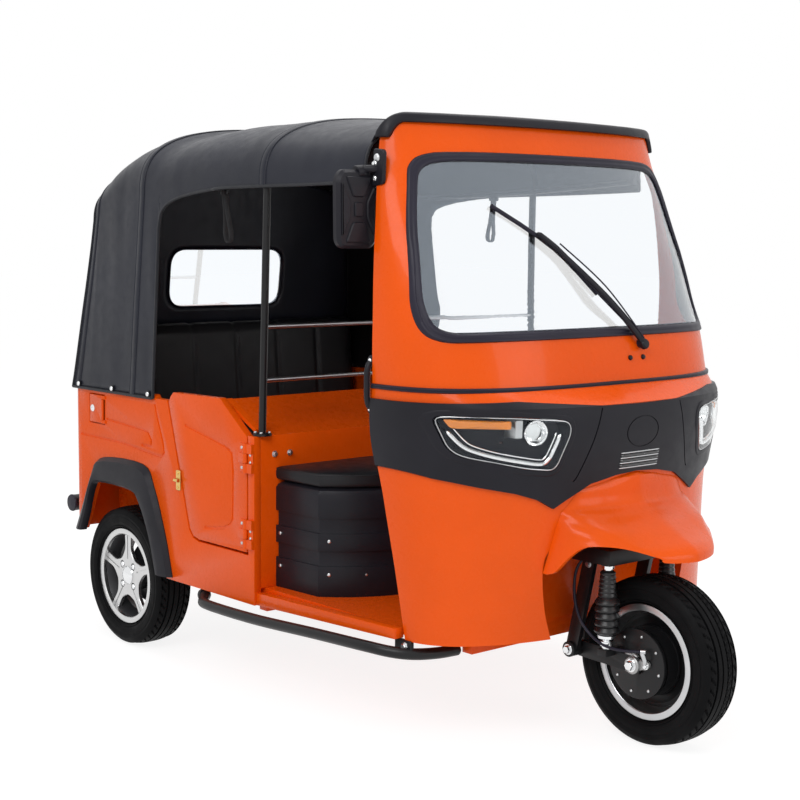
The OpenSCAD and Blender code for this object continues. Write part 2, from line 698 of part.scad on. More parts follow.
// Rear window: share of the roof's height at its middle, then sizes
window_share = 0.414;
window_w = 524;
window_h = 222;
window_r = 55;
window_lip = 2;
module window_outline(grown) {
  from_front(-far, rx - tyre_r / 2) translate([0, rz(window_share)]) offset(r = window_r + grown)
    square([window_w - 2 * window_r, window_h - 2 * window_r], center = true);
}
module canopy_back() {
  color("DarkSlateGray") difference() {
    back_slab(0, canopy_t);
    window_outline(fit);
  }
}
module rear_window() {
  color("LightSteelBlue", 0.5) intersection() {
    difference() {
      behind_back(canopy_t - window_lip);
      behind_back(window_lip);
    }
    window_outline(0);
  }
}
// Places of the bows along the canopy
bow_shares = [0.0075, 0.7206, 0.9166];
post_d = 24;
post_x = pillar_x - post_d / 2;
post_lean = 16;
function bow_at(i) = canopy_x1 - canopy_len * bow_shares[i];
bows = [bow_at(0), post_x + post_lean, bow_at(1), bow_at(2)];
rail_d = 18;
rail_in = 3;
rail_up = 8;
function arch_only(r, drawn) = let (h = hoop(r, drawn, belt_z)) [for (i = [1:len(h) - 2]) [h[i][1], h[i][2]]];
function bow_row(x) = let (lo = at(canopy_rows, x - bow_t / 2), hi = at(canopy_rows, x + bow_t / 2))
  [x, max(lo[1], hi[1]), max(lo[2], hi[2]), min(lo[3], hi[3]), min(lo[4], hi[4])];
function rail_point(x, hand) = let (r = bow_row(x))
  [x, hand * (canopy_hw - r[2] - canopy_t - fit - bow_t / 2 - rail_in), r[3] + rail_up];
module roof_frame() {
  color("DimGray") {
    for (x = bows) {
      r = bow_row(x);
      o = arch_only(r, canopy_t + 2 * fit);
      i = arch_only(r, canopy_t + 2 * fit + bow_t);
      from_front(x - bow_t / 2, x + bow_t / 2) polygon(concat(o, [for (k = [len(i) - 1:-1:0]) i[k]]));
    }
    for (h = [-1, 1]) tube([for (x = bows) rail_point(x, h)], rail_d);
  }
}
post_in = 40;
post_y = body_hw - post_in;
seat_gap = 0.7;
cross_d = 14;
cross_sink = 4;
cross_ahead = 2;
// Heights of the two guard bars between the posts, as shares of the roof's height
cross_shares = [0.1095, 0.289];
post_foot = [post_x, -post_y, pillar_z + seat_gap];
post_end = rail_point(bows[1], -1);
post_top = post_end - unit(post_end - post_foot) * (rail_d / 2 + seat_gap);
function post_at(z) = post_foot[0] + (post_top[0] - post_foot[0]) * (z - post_foot[2]) / (post_top[2] - post_foot[2]);
module partition_frame() {
  color("Black") {
    both_hands() bar(post_foot, post_top, post_d);
    for (s = cross_shares) translate([post_at(rz(s)) + cross_ahead, 0, rz(s)]) along_y(cross_sink - post_y, post_y - cross_sink, cross_d);
  }
}

// Floor, chassis and inner walls
bench_reach = 330;
bench_x = rx + bench_reach;
floor_start = 25;
floor_rear_x = bench_x + floor_start;
floor_in = 44;
floor_hw = body_hw - floor_in;
well_back = 315;
well_x = fx - well_back;
well_hw = 330;
well_t = 10;
pan_gap = 5;
sill_back = 440;
sill_x1 = fx - sill_back;
neck_w = 60;
neck_t = 40;
neck_in = 5;
neck_x1 = well_x - neck_in;
neck_x0 = neck_x1 - neck_t;
module floor_pan() {
  color("Black") translate([0, 0, floor_low]) linear_extrude(floor_t) difference() {
    polygon(concat(
      [[floor_rear_x, floor_hw], [floor_rear_x, -floor_hw], [sill_x1, -floor_hw]],
      [for (p = cab_line(cab_low, -cab_t - pan_gap)) if (p[0] > sill_x1) [p[0], p[1]]],
      [[sill_x1, floor_hw]]
    ));
    translate([well_x - fit, -well_hw - fit]) square([far, 2 * (well_hw + fit)]);
    translate([neck_x0 - fit, -neck_w / 2 - fit]) square([neck_t + 2 * fit, neck_w + 2 * fit]);
  }
}
sill_in = 8;
sill_h = 40;
sill_rise = 26;
sill_lip = 5;
sill_pts = [
  [pillar_x, body_low], [pillar_x, body_low + sill_h], [sill_x1, floor_z + sill_lip], [sill_x1, body_low + sill_rise]
];
module sills() {
  color("OrangeRed") both_hands() from_side(-body_hw + sill_in, -floor_hw - fit) polygon(sill_pts);
}
head_d = 62;
head_gap = 1;
function on_axis(z) = [fx - steer_back - tan(rake) * (z - steer_z), 0, z];
axis_up = [-sin(rake), 0, cos(rake)];
module wheel_well() {
  color("OrangeRed") intersection() {
    difference() {
      box(well_x, fx + tyre_r, -well_hw, well_hw, floor_low, well_z);
      box(well_x + well_t, fx + tyre_d, -well_hw + well_t, well_hw - well_t, 0, well_z - well_t);
      bar(on_axis(crown_top), on_axis(well_z + crown_gap), head_d + 2 * head_gap);
    }
    loft([for (z = cowl_zs) cab_line(z, -cab_t - fit)]);
  }
}
// Wheel houses stand inside the rear tyres
house_gap = 22;
house_y = half_track - tyre_w / 2 - house_gap;
shock_in = 60;
shock_y = house_y - shock_in;
arm_in = 65;
arm_y = shock_y - arm_in;
rail_in_arm = 45;
rail_y = arm_y - rail_in_arm;
rail_w = 40;
rail_h = 60;
rail_z = floor_low - rail_h;
kick_in = 22;
kick_x = bench_x + kick_in;
kick_lap = 7;
beam_t = 40;
beam_gap = 1;
// Cross beams: middle x, half width and how far they stand over the front rails' foot
door_beam_x = pillar_x - beam_t / 2;
engine_gap = 130;
wide_in = 50;
front_beam_in = 200;
front_beam_hw = body_hw - front_beam_in;
low_beams = [[neck_x1 - beam_t / 2, front_beam_hw], [door_beam_x, body_hw - wide_in], [bench_x - beam_t / 2 + head_gap, rail_y + rail_w / 4]];
high_beams = [rx + engine_gap + beam_t / 2, tail_x + wall + beam_t / 2];
neck_low = floor_low - rail_w / 2;
neck_rise = 108;
neck_top = well_z + neck_rise;
neck_arm_w = 52;
head_rise = 128;
head_top = well_z + head_rise;
module chassis() {
  color("OrangeRed") difference() {
    union() {
      both_hands() {
        box(bench_x - kick_in, neck_x1, -rail_y - rail_w / 2, -rail_y + rail_w / 2, rail_z, floor_low);
        box(tail_x + wall, kick_x, -rail_y - rail_w / 2, -rail_y + rail_w / 2, floor_low - kick_lap, floor_low + rail_h);
      }
      for (b = low_beams) box(b[0] - beam_t / 2, b[0] + beam_t / 2, -b[1], b[1], rail_z, floor_low - beam_gap);
      for (x = high_beams)
        box(x - beam_t / 2, x + beam_t / 2, -rail_y - rail_w / 4, rail_y + rail_w / 4, floor_low + beam_gap, floor_low + rail_h - beam_gap);
      box(neck_x0, neck_x1, -neck_w / 2, neck_w / 2, neck_low, neck_top);
      box(neck_x0 + over, on_axis(neck_top)[0], -neck_arm_w / 2, neck_arm_w / 2, neck_top - rail_h, neck_top - beam_gap);
      bar(on_axis(steer_z), on_axis(head_top), head_d);
    }
    bar(on_axis(steer_z - rail_h), on_axis(head_top + rail_h), stem_d + 2 * head_gap);
  }
}
house_t = 10;
house_x0 = side_rear_x + fit;
house_rise = 106;
house_z = tyre_d + house_rise;
drum_share = 0.652;
drum_d = rim_d * drum_share;
drum_gap = 15;
deck_t = 18;
inner_hw = body_hw - wall - fit;
module wheel_house() {
  difference() {
    union() {
      box(house_x0, bench_x - deck_t / 2, -inner_hw, -house_y, house_z, house_z + house_t);
      box(house_x0, bench_x - deck_t / 2, -house_y - house_t, -house_y, floor_low, house_z + house_t / 2);
    }
    translate([rx, 0, tyre_r]) {
      along_y(-house_y - 2 * house_t, -house_y + house_t, drum_d + 2 * drum_gap);
      box(-drum_d / 2 - drum_gap, drum_d / 2 + drum_gap, -house_y - 2 * house_t, -house_y + house_t, -tyre_r, 0);
    }
  }
}
module bench_base() {
  color("OrangeRed") difference() {
    union() {
      translate([0, 0, bench_z - deck_t]) linear_extrude(deck_t)
        polygon(across(concat([[bench_x, -inner_hw]], corner(corner_r - wall - fit))));
      box(bench_x - deck_t, bench_x, -inner_hw, inner_hw, floor_low + beam_gap, bench_z - deck_t / 2);
      both_hands() wheel_house();
    }
    both_hands() box(bench_x - bench_reach / 2, bench_x + over, -rail_y - rail_w / 2 - fit, -rail_y + rail_w / 2 + fit,
      0, floor_low + rail_h + fit);
  }
}
cushion_back = 145;
cushion_lip = 14;
cushion_r = 34;
cushion_in = 26;
seat_hw = inner_hw - cushion_in;
module bench_cushion() {
  color("DarkSlateGray") from_side(-seat_hw, seat_hw) offset(r = cushion_r) offset(delta = -cushion_r)
    polygon([[rx - cushion_back, bench_z], [bench_x + cushion_lip, bench_z], [bench_x + cushion_lip, bench_z + cushion_t],
      [rx - cushion_back, bench_z + cushion_t]]);
}
back_gap = 5;
back_lean = 56;
back_t = 52;
back_h = 490;
back_r = 22;
module bench_back() {
  color("DarkSlateGray") translate([rx - cushion_back - back_gap, 0, bench_z]) from_side(-seat_hw, seat_hw)
    offset(r = back_r) offset(delta = -back_r)
      polygon([[0, 0], [-back_lean, back_h], [-back_lean - back_t, back_h], [-back_lean - back_t, 0]]);
}
bulk_t = 25;
slope_run = 197;
slope_rise = 101;
slope_t = 12;
slope_gap = 2;
slope_hw = post_y - post_d / 2 - slope_gap;
module bulkhead() {
  color("OrangeRed") {
    box(pillar_x - bulk_t, pillar_x, -inner_hw, inner_hw, floor_z, pillar_z);
    from_side(-slope_hw, slope_hw) polygon([
      [pillar_x - slope_gap, pillar_z - slope_t], [pillar_x - slope_gap, pillar_z], [pillar_x - slope_run, pillar_z + slope_rise],
      [pillar_x - slope_run - slope_t / 2, pillar_z + slope_rise - slope_t], [pillar_x - bulk_t + slope_gap, pillar_z - slope_t]
    ]);
  }
}
// Driver's box seen from above: shares of its length and of its half width, from the rear corner to the nose
box_len = 388;
box_in = 85;
box_corner_shares = [[0.526, 0.982], [0.701, 0.849], [0.856, 0.638], [0.959, 0.342], [1, 0]];
box_x0 = pillar_x + fit;
box_hw = body_hw - box_in;
box_top = floor_z + box_h;
box_half = concat([[0, 1]], smooth_path(box_corner_shares));
function box_line(drawn, z) = let (
  half = [for (s = box_half) [box_x0 + drawn + (box_len - 2 * drawn) * s[0], (box_hw - drawn) * s[1], z]], n = len(half))
    concat([for (p = half) [p[0], -p[1], z]], [for (i = [n - 2:-1:0]) half[i]]);
module box_prism(drawn, z0, z1) {
  translate([0, 0, z0]) linear_extrude(z1 - z0) polygon([for (p = box_line(drawn, 0)) [p[0], p[1]]]);
}
tier_in = 6;
// Heights of the tiers' edges from the floor, as shares of the box's height up to its lid
tier_shares = [0.3, 0.45, 0.62, 0.77];
lid_h = 24;
lid_bevel = 26;
lid_low = box_top - lid_h;
module driver_box() {
  h = lid_low - floor_z;
  color("Black") {
    box_prism(tier_in, floor_z, lid_low + over);
    box_prism(0, floor_z, floor_z + h * tier_shares[0]);
    box_prism(0, floor_z + h * tier_shares[1], floor_z + h * tier_shares[2]);
    box_prism(0, floor_z + h * tier_shares[3], lid_low);
    loft([box_line(0, lid_low), box_line(lid_bevel / 4, lid_low + lid_h / 2), box_line(lid_bevel, box_top)]);
  }
}
// Seat pad rows: share of its thickness and of the bevel
pad_shares = [[0, 1.1], [0.3, 0.75], [0.7, 0.85], [0.92, 1.3], [1, 2]];
module driver_pad() {
  color("DarkSlateGray") loft([for (s = pad_shares) box_line(lid_bevel * s[1], box_top + pad_t * s[0])]);
}
engine_in = 70;
engine_hw = rail_y - engine_in;
engine_h = 264;
engine_low = 296;
module engine() {
  color("Gray") box(tail_x + wall + beam_t, rx + engine_gap, -engine_hw, engine_hw, engine_low, engine_low + engine_h);
}

// Rear axle and wheels
axle_d = 56;
drum_in = 32;
drum_w = 52;
drum_y0 = half_track - drum_in;
stub_out = 18;
axle_lap = 2;
arm_d = 34;
arm_eye = 44;
arm_reach = 390;
arm_start = 36;
clamp_d = 84;
arm_z = rail_z + rail_h / 2;
module rear_axle() {
  color("DimGray") {
    translate([rx, 0, tyre_r]) {
      along_y(-drum_y0 + drum_w - axle_lap, drum_y0 - drum_w + axle_lap, axle_d);
      both_hands() {
        along_y(-drum_y0, drum_w - drum_y0, drum_d);
        along_y(-half_track - stub_out, axle_lap - drum_y0, stub_d);
        along_y(-arm_y - arm_eye / 2, -arm_y + arm_eye / 2, clamp_d);
      }
    }
    both_hands() {
      bar([rx + arm_start, -arm_y, tyre_r], [rx + arm_reach, -arm_y, arm_z], arm_d);
      translate([rx + arm_reach, 0, arm_z]) along_y(-arm_y - arm_eye / 2, -rail_y - rail_w / 2, arm_eye);
    }
  }
}
// Ribbed boot over a plain rod, turned about an upright line
boot_ribs = 9;
boot_in_share = 0.8;
rod_share = 0.28;
module shock(h, d, rod) {
  s = h * rod_share;
  rib = (h - s) / (2 * boot_ribs);
  rotate_extrude() polygon(concat(
    [[0, 0], [rod / 2, 0], [rod / 2, s]],
    [for (k = [0:2 * boot_ribs]) [d / 2 * (k % 2 == 0 ? boot_in_share : 1), s + k * rib]],
    [[0, h]]
  ));
}
shock_d = 52;
shock_rod = 30;
module rear_shocks() {
  foot = tyre_r + axle_d / 2 + fit;
  color("Black") both_hands() translate([rx, -shock_y, foot]) shock(bench_z - deck_t - fit - foot, shock_d, shock_rod);
}
// Tyre section: shares of its height over the rim and of its width
tyre_shares = [
  [0, 0.36], [0.105, 0.36], [0.302, 0.49], [0.535, 0.5], [0.76, 0.482], [0.885, 0.445], [0.965, 0.38], [1, 0.27]
];
bead_y = tyre_w * tyre_shares[0][1];
tyre_pts = [for (s = tyre_shares) [rim_r + (tyre_r - rim_r) * s[0], tyre_w * s[1]]];
module tyre_ring() {
  turned() polygon(concat(tyre_pts, [for (i = [len(tyre_pts) - 1:-1:0]) [tyre_pts[i][0], -tyre_pts[i][1]]]));
}
module at_rear(hand) {
  translate([rx, hand * half_track, tyre_r]) children();
}
module at_front() {
  translate([fx, 0, tyre_r]) children();
}
lip_h = 8;
lip_w = 4;
lip_gap = 1;
barrel_t = 12;
barrel_drop = 14;
lip_y = rim_w / 2 + lip_w;
module rim_barrel() {
  turned() polygon([
    [rim_r - fit, -bead_y - fit], [rim_r - fit, bead_y + fit], [rim_r + lip_h, bead_y + lip_gap + fit], [rim_r + lip_h, lip_y],
    [rim_r - barrel_t, lip_y], [rim_r - barrel_t - barrel_drop, 0], [rim_r - barrel_t, -lip_y], [rim_r + lip_h, -lip_y],
    [rim_r + lip_h, -bead_y - lip_gap - fit]
  ]);
}
hub_share = 0.366;
hub_d = rim_d * hub_share;
hub_back = 10;
cap_d = 64;
cap_h = 9;
spoke_y = 34;
spoke_t = 16;
spoke_step = 3;
// Half width of a spoke at the rim and at its foot, and how deep and wide its groove is
spoke_tip = 19;
spoke_foot = 17;
spoke_groove_w = 5;
spoke_r1 = rim_r - lip_h;
// Star of spokes: foot and valley radii as shares of the spoke's reach
foot_share = 0.62;
valley_share = 0.46;
function star_arm(a) = let (u = [sin(a), cos(a)], v = [cos(a), -sin(a)], w = [sin(a + half_turn / spokes), cos(a + half_turn / spokes)]) [
  u * spoke_r1 - v * spoke_tip, u * spoke_r1 + v * spoke_tip, u * spoke_r1 * foot_share + v * spoke_foot,
  w * spoke_r1 * valley_share
];
// The left edge of an arm closes against the valley before it
function star() = flat([for (k = [0:spokes - 1]) let (a = turn * k / spokes, u = [sin(a), cos(a)], v = [cos(a), -sin(a)])
  concat([u * spoke_r1 * foot_share - v * spoke_foot], star_arm(a))]);
module alloy() {
  face = -spoke_y - spoke_t + spoke_step;
  difference() {
    union() {
      rim_barrel();
      along_y(-spoke_y, hub_back, hub_d);
      from_side(face, spoke_step - spoke_y) polygon(star());
      along_y(face - cap_h, -spoke_y, cap_d);
    }
    for (k = [0:spokes - 1]) rotate([0, k * turn / spokes, 0])
      box(-spoke_groove_w / 2, spoke_groove_w / 2, face - over, face + spoke_step, spoke_r1 * valley_share, spoke_r1 - over);
    along_y(-spoke_y, rim_w, stub_d + lip_gap);
  }
}
module rear_tyre_right() {
  color("Black") at_rear(-1) tyre_ring();
}
module rear_tyre_left() {
  color("Black") at_rear(1) tyre_ring();
}
module rear_rim_right() {
  color("Silver") at_rear(-1) alloy();
}
module rear_rim_left() {
  color("Silver") at_rear(1) left_hand() alloy();
}
module front_tyre() {
  color("Black") at_front() tyre_ring();
}
disc_t = 12;
disc_d = rim_d - barrel_t;
disc_bore = 66;
slot_share = 0.733;
slot_at = rim_r * slot_share;
slot_w = 24;
slot_h = 12;
slot_square = 2.4;
slot_steps = 20;
front_drum_share = 0.621;
front_drum_d = rim_d * front_drum_share;
front_drum_y = 70;
hub_tube_d = 65;
hub_y = 78;
axle_bore = 22;
module front_rim() {
  color("Silver") at_front() difference() {
    union() {
      rim_barrel();
      along_y(-disc_t, 0, disc_d);
    }
    for (k = [0:disc_slots - 1]) rotate([0, k * turn / disc_slots, 0]) translate([0, 0, slot_at])
      from_side(-2 * disc_t, disc_t) polygon(oval(slot_w, slot_h, slot_square, slot_steps));
    along_y(-2 * disc_t, disc_t, disc_bore);
  }
}
module front_hub() {
  color("Black") at_front() difference() {
    union() {
      along_y(-front_drum_y, -disc_t, front_drum_d);
      along_y(-disc_t - over, hub_y, hub_tube_d);
    }
    along_y(-rim_w, rim_w, axle_bore);
  }
}

// Front fork
crown_hw = 162;
crown_back = 194;
crown_front = 48;
leg_y = 128;
leg_t = 16;
leg_w = 44;
leg_start = 150;
pivot_back = 214;
pivot_rise = 8;
pivot_d = 46;
boss_out = 12;
link_y = 108;
link_t = 12;
link_end = 22;
link_h = 48;
pivot_z = tyre_r + pivot_rise;
stem_rise = 412;
stem_top = steer_z + stem_rise;
module fork() {
  color("Black") {
    bar(on_axis(crown_low + fit), on_axis(stem_top), stem_d);
    box(fx - crown_back, fx - crown_front, -crown_hw, crown_hw, crown_low, crown_top);
    both_hands() {
      from_side(-leg_y - leg_t / 2, -leg_y + leg_t / 2) polygon([
        [fx - leg_start - leg_w / 2, crown_low + over], [fx - leg_start + leg_w / 2, crown_low + over],
        [fx - pivot_back + leg_w / 2, pivot_z], [fx - pivot_back, pivot_z - leg_w / 2], [fx - pivot_back - leg_w / 2, pivot_z]
      ]);
      translate([fx - pivot_back, 0, pivot_z]) along_y(-leg_y - leg_t / 2 - boss_out, -link_y - fit, pivot_d);
    }
  }
}
// Link seen from the side, from the pivot to past the axle
link_back = pivot_back + link_h / 2;
link_pts = [
  [-link_back, pivot_rise - link_h / 4], [-link_back, pivot_rise + link_h / 4], [-pivot_back, pivot_rise + link_h / 2],
  [link_end, link_h / 2], [link_end, -link_h / 2], [-pivot_back, pivot_rise - link_h / 2]
];
front_shock_back = 80;
front_shock_y = 132;
front_shock_d = 50;
front_shock_rod = 28;
bracket_w = 32;
bracket_z = 16;
bracket_h = 20;
bracket_out = 20;
front_axle_d = 20;
axle_out = 4;
plate_y = 92;
plate_t = 12;
plate_lip = 2;
plate_d = front_drum_d + 2 * plate_lip;
module front_links() {
  color("Black") at_front() {
    both_hands() {
      from_side(-link_y, link_t - link_y) polygon(link_pts);
      box(-front_shock_back - bracket_w / 2, -front_shock_back + bracket_w / 2, -front_shock_y - bracket_out, axle_out / 4 - link_y,
        bracket_z, bracket_z + bracket_h);
    }
    along_y(link_t - link_y - axle_out - link_t, link_y + axle_out, front_axle_d);
    along_y(-plate_y, plate_t - plate_y, plate_d);
  }
}
module front_shocks() {
  foot = tyre_r + bracket_z + bracket_h + fit;
  color("DimGray") both_hands() translate([fx - front_shock_back, -front_shock_y, foot])
    shock(crown_low - fit - foot, front_shock_d, front_shock_rod);
}
bar_d = 26;
bar_at = on_axis(stem_top) + axis_up * (bar_d / 2 + fit);
// Handlebar from the middle to its end: shares of its half width, backwards and sideways
bar_shares = [[0, 0], [0.03, 0.17], [0.2, 0.42], [0.6, 0.78], [0.86, 0.967]];
function bar_point(s, hand) = bar_at + bar_hw * [-s[0], hand * s[1], 0];
module handlebar() {
  color("Black") tube(smooth_path(concat(
    [for (i = [len(bar_shares) - 1:-1:1]) bar_point(bar_shares[i], -1)], [for (s = bar_shares) bar_point(s, 1)]
  )), bar_d);
}

// Trim and fittings
step_d = 28;
step_out = 42;
step_sag = 18;
step_start = 254;
step_x0 = door_front_x - step_start;
step_front = 400;
step_len = fx - step_front - step_x0;
step_z0 = body_low - step_d / 2 - fit;
step_z1 = cab_low - step_d / 2 - fit;
// Side step from rear to front: shares of its length, of its reach and of its sag
step_shares = [
  [0, -0.43, 0], [0.022, 0.24, 0.73], [0.082, 0.76, 1.03], [0.351, 1, 1.02], [0.651, 1, 0.5], [0.87, 0.76, 0.1],
  [0.96, 0, 0], [1, -1.095, 0]
];
step_pts = [for (s = step_shares)
  [step_x0 + step_len * s[0], -body_hw - step_out * s[1], step_z0 + (step_z1 - step_z0) * s[0] - step_sag * s[2]]];
module side_steps() {
  color("Black") both_hands() tube(smooth_path(step_pts), step_d);
}
bumper_d = 60;
bumper_back = 67;
bumper_in = 40;
bumper_hw = body_hw - bumper_in;
bumper_rise = 162;
stay_d = 36;
stay_y = 330;
module rear_bumper() {
  color("Black") translate([tail_x, 0, body_low + bumper_rise]) {
    translate([-bumper_back, 0, 0]) along_y(-bumper_hw, bumper_hw, bumper_d);
    both_hands() bar([-bumper_back, -stay_y, 0], [0, -stay_y, 0], stay_d);
  }
}
tail_lamp_in = 120;
tail_lamp_hw = 50;
tail_lamp_hh = 80;
tail_lamp_deep = 26;
tail_lamp_share = 0.796;
lamp_square = 4;
lamp_sides = 28;
// Rows of a rounded lens: share of its depth and of its outline
lens_shares = [[1, 0.72], [0.85, 0.88], [0.5, 0.97], [0, 1]];
module tail_lamps() {
  color("Red") both_hands() translate([tail_x, -body_hw + tail_lamp_in, bz(tail_lamp_share)])
    loft([for (s = lens_shares) [for (p = oval(tail_lamp_hw * s[1], tail_lamp_hh * s[1], lamp_square, lamp_sides))
      [-tail_lamp_deep * s[0], p[0], p[1]]]]);
}
module cab_solid(zs, out) {
  loft([for (z = zs) cab_line(z, out)]);
}
mirror_hw = 75;
mirror_hh = 111;
mirror_t = 36;
mirror_square = 3.2;
mirror_out = 20;
mirror_share = 0.8242;
arm_tube_d = 18;
mirror_ahead = 12;
mirror_mid = [canopy_x1 + mirror_ahead, -body_hw - mirror_out, cz(mirror_share)];
// Mirror housing from the glass forward: share of its thickness and of its outline
housing_shares = [[0, 0.94], [0.12, 1], [0.45, 1], [0.75, 0.93], [0.93, 0.8], [1, 0.66]];
// Mirror arm from inside the housing to the cab: shares of the housing's half height
mirror_arm_shares = [[0.16, 0.18, 0.55], [0.16, 0.18, 0.8], [0.25, 0.25, 0.965], [0.41, 0.38, 1], [0.54, 0.63, 1]];
module side_mirror() {
  color("Black") difference() {
    translate(mirror_mid) {
      loft([for (s = housing_shares) [for (p = oval(mirror_hw * s[1], mirror_hh * s[1], mirror_square, lamp_sides))
        [mirror_t * s[0], p[0], p[1]]]]);
      tube([for (s = mirror_arm_shares) mirror_hh * s], arm_tube_d);
    }
    cab_solid([for (i = [4:7]) frame_zs[i]], fit);
  }
}
// Wiper pivot and blade on the glass: shares of the half width and of the cab's height
wiper_shares = [0.184, 0.5623];
blade_shares = [[-0.0125, 0.662], [-0.209, 0.751], [-0.505, 0.8337]];
function cab_x(y, z, out) = let (r = at(cab_rows, z))
  fx + r[1] + (r[3] - r[1] + out) * pow(1 - pow(abs(y) / (r[2] + out), r[4]), 1 / r[4]);
function on_cab(s, out) = [cab_x(body_hw * s[0], cz(s[1]), out), body_hw * s[0], cz(s[1])];
base_d = 26;
base_h = 24;
arm_d2 = 11;
arm_lift = 16;
blade_d = 13;
blade_lift = blade_d / 2 - glass_in + 3 * fit;
module wiper() {
  color("Black") difference() {
    union() {
      tube([on_cab(wiper_shares, -over), on_cab(wiper_shares, base_h)], base_d);
      tube([on_cab(wiper_shares, arm_lift), on_cab((wiper_shares + blade_shares[0]) / 2, arm_lift + arm_d2 / 2),
        on_cab(blade_shares[1], arm_d2)], arm_d2);
      tube([for (s = smooth_path(blade_shares)) on_cab(s, blade_lift)], blade_d);
    }
    cab_solid([frame_zs[0], frame_zs[1], frame_zs[2]], fit);
  }
}

lower_cowl();
screen_frame();
screen_rubber();
windscreen();
belt_trim();
lamp_band();
head_lamps();
mudguard();
visor();
canopy();
canopy_back();
rear_window();
roof_frame();
partition_frame();
body_side_right();
body_side_left();
tail_panel();
filler_flap();
flares();
door_right();
door_left();
door_hinges();
floor_pan();
sills();
wheel_well();
chassis();
bench_base();
bench_cushion();
bench_back();
bulkhead();
driver_box();
driver_pad();
engine();
rear_axle();
rear_shocks();
rear_tyre_right();
rear_tyre_left();
rear_rim_right();
rear_rim_left();
front_tyre();
front_rim();
front_hub();
fork();
front_links();
front_shocks();
handlebar();
side_steps();
rear_bumper();
tail_lamps();
side_mirror();
wiper();
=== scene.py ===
"""Looks of the auto rickshaw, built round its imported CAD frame."""
import json
import math

import bmesh
import bpy
import numpy as np
from mathutils import Matrix, Vector, noise


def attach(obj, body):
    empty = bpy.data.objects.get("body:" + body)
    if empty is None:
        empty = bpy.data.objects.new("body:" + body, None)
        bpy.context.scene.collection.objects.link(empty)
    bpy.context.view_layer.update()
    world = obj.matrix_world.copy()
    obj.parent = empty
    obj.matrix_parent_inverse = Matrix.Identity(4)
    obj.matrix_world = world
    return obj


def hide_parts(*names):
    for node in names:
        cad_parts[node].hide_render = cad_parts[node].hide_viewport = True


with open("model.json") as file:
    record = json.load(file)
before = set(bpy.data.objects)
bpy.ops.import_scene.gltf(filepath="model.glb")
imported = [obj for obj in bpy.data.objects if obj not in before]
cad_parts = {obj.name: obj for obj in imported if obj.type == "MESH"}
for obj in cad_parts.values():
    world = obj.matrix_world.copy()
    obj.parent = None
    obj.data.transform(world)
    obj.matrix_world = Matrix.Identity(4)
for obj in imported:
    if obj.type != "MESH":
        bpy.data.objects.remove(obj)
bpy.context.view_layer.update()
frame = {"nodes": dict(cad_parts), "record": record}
NODES = frame["nodes"]
scene = bpy.context.scene
MM = 0.001


# Materials
class Mat:
    """A node material with a Principled shader and short calls to add nodes."""

    def __init__(self, name):
        self.m = bpy.data.materials.new(name)
        self.m.use_nodes = True
        self.t = self.m.node_tree
        self.b = self.t.nodes["Principled BSDF"]
        self.co = None

    def node(self, kind, **inputs):
        n = self.t.nodes.new(kind)
        for k, v in inputs.items():
            n.inputs[k.replace("_", " ")].default_value = v
        return n

    def link(self, a, b):
        self.t.links.new(a, b)

    def set(self, **kw):
        for k, v in kw.items():
            self.b.inputs[k.replace("_", " ")].default_value = v
        return self

    def coords(self):
        if self.co is None:
            self.co = self.node("ShaderNodeTexCoord").outputs["Object"]
        return self.co

    def noise(self, scale, detail=3.0, stretch=None):
        n = self.node("ShaderNodeTexNoise", Scale=scale, Detail=detail, Roughness=0.55)
        v = self.coords()
        if stretch:
            m = self.node("ShaderNodeMapping", Scale=stretch)
            self.link(v, m.inputs["Vector"])
            v = m.outputs["Vector"]
        self.link(v, n.inputs["Vector"])
        return n.outputs["Fac"]

    def voronoi(self, scale):
        n = self.node("ShaderNodeTexVoronoi", Scale=scale)
        n.feature = "DISTANCE_TO_EDGE"
        self.link(self.coords(), n.inputs["Vector"])
        return n.outputs["Distance"]

    def ramp(self, fac, stops):
        n = self.node("ShaderNodeValToRGB")
        e = n.color_ramp.elements
        for i, (p, c) in enumerate(stops):
            e[i].position = p
            e[i].color = (*c, 1.0)
        self.link(fac, n.inputs["Fac"])
        return n.outputs["Color"]

    def spread(self, fac, lo, hi):
        n = self.node("ShaderNodeMapRange", From_Min=0.3, From_Max=0.7, To_Min=lo, To_Max=hi)
        self.link(fac, n.inputs["Value"])
        return n.outputs["Result"]

    def color(self, socket):
        self.link(socket, self.b.inputs["Base Color"])

    def rough(self, socket):
        self.link(socket, self.b.inputs["Roughness"])

    def bump(self, *layers):
        normal = None
        for height, strength, distance in layers:
            n = self.node("ShaderNodeBump", Strength=strength, Distance=distance)
            self.link(height, n.inputs["Height"])
            if normal is not None:
                self.link(normal, n.inputs["Normal"])
            normal = n.outputs["Normal"]
        self.link(normal, self.b.inputs["Normal"])


def shade(c, k):
    return tuple(min(1.0, x * k) for x in c)


def finish(name, c, rough, metal=0.0, vary=0.12, grain=900.0, depth=0.0002, strength=0.25, gloss=0.5, **kw):
    """A finish with colour drift, uneven gloss and a fine surface grain."""
    m = Mat(name)
    m.set(Metallic=metal, Specular_IOR_Level=gloss, **kw)
    m.color(m.ramp(m.noise(7.0, 4.0), [(0.3, shade(c, 1 - vary)), (0.7, shade(c, 1 + vary))]))
    m.rough(m.spread(m.noise(23.0, 3.0), rough * 0.85, rough * 1.15))
    m.bump((m.noise(grain, 2.0), strength, depth))
    return m.m


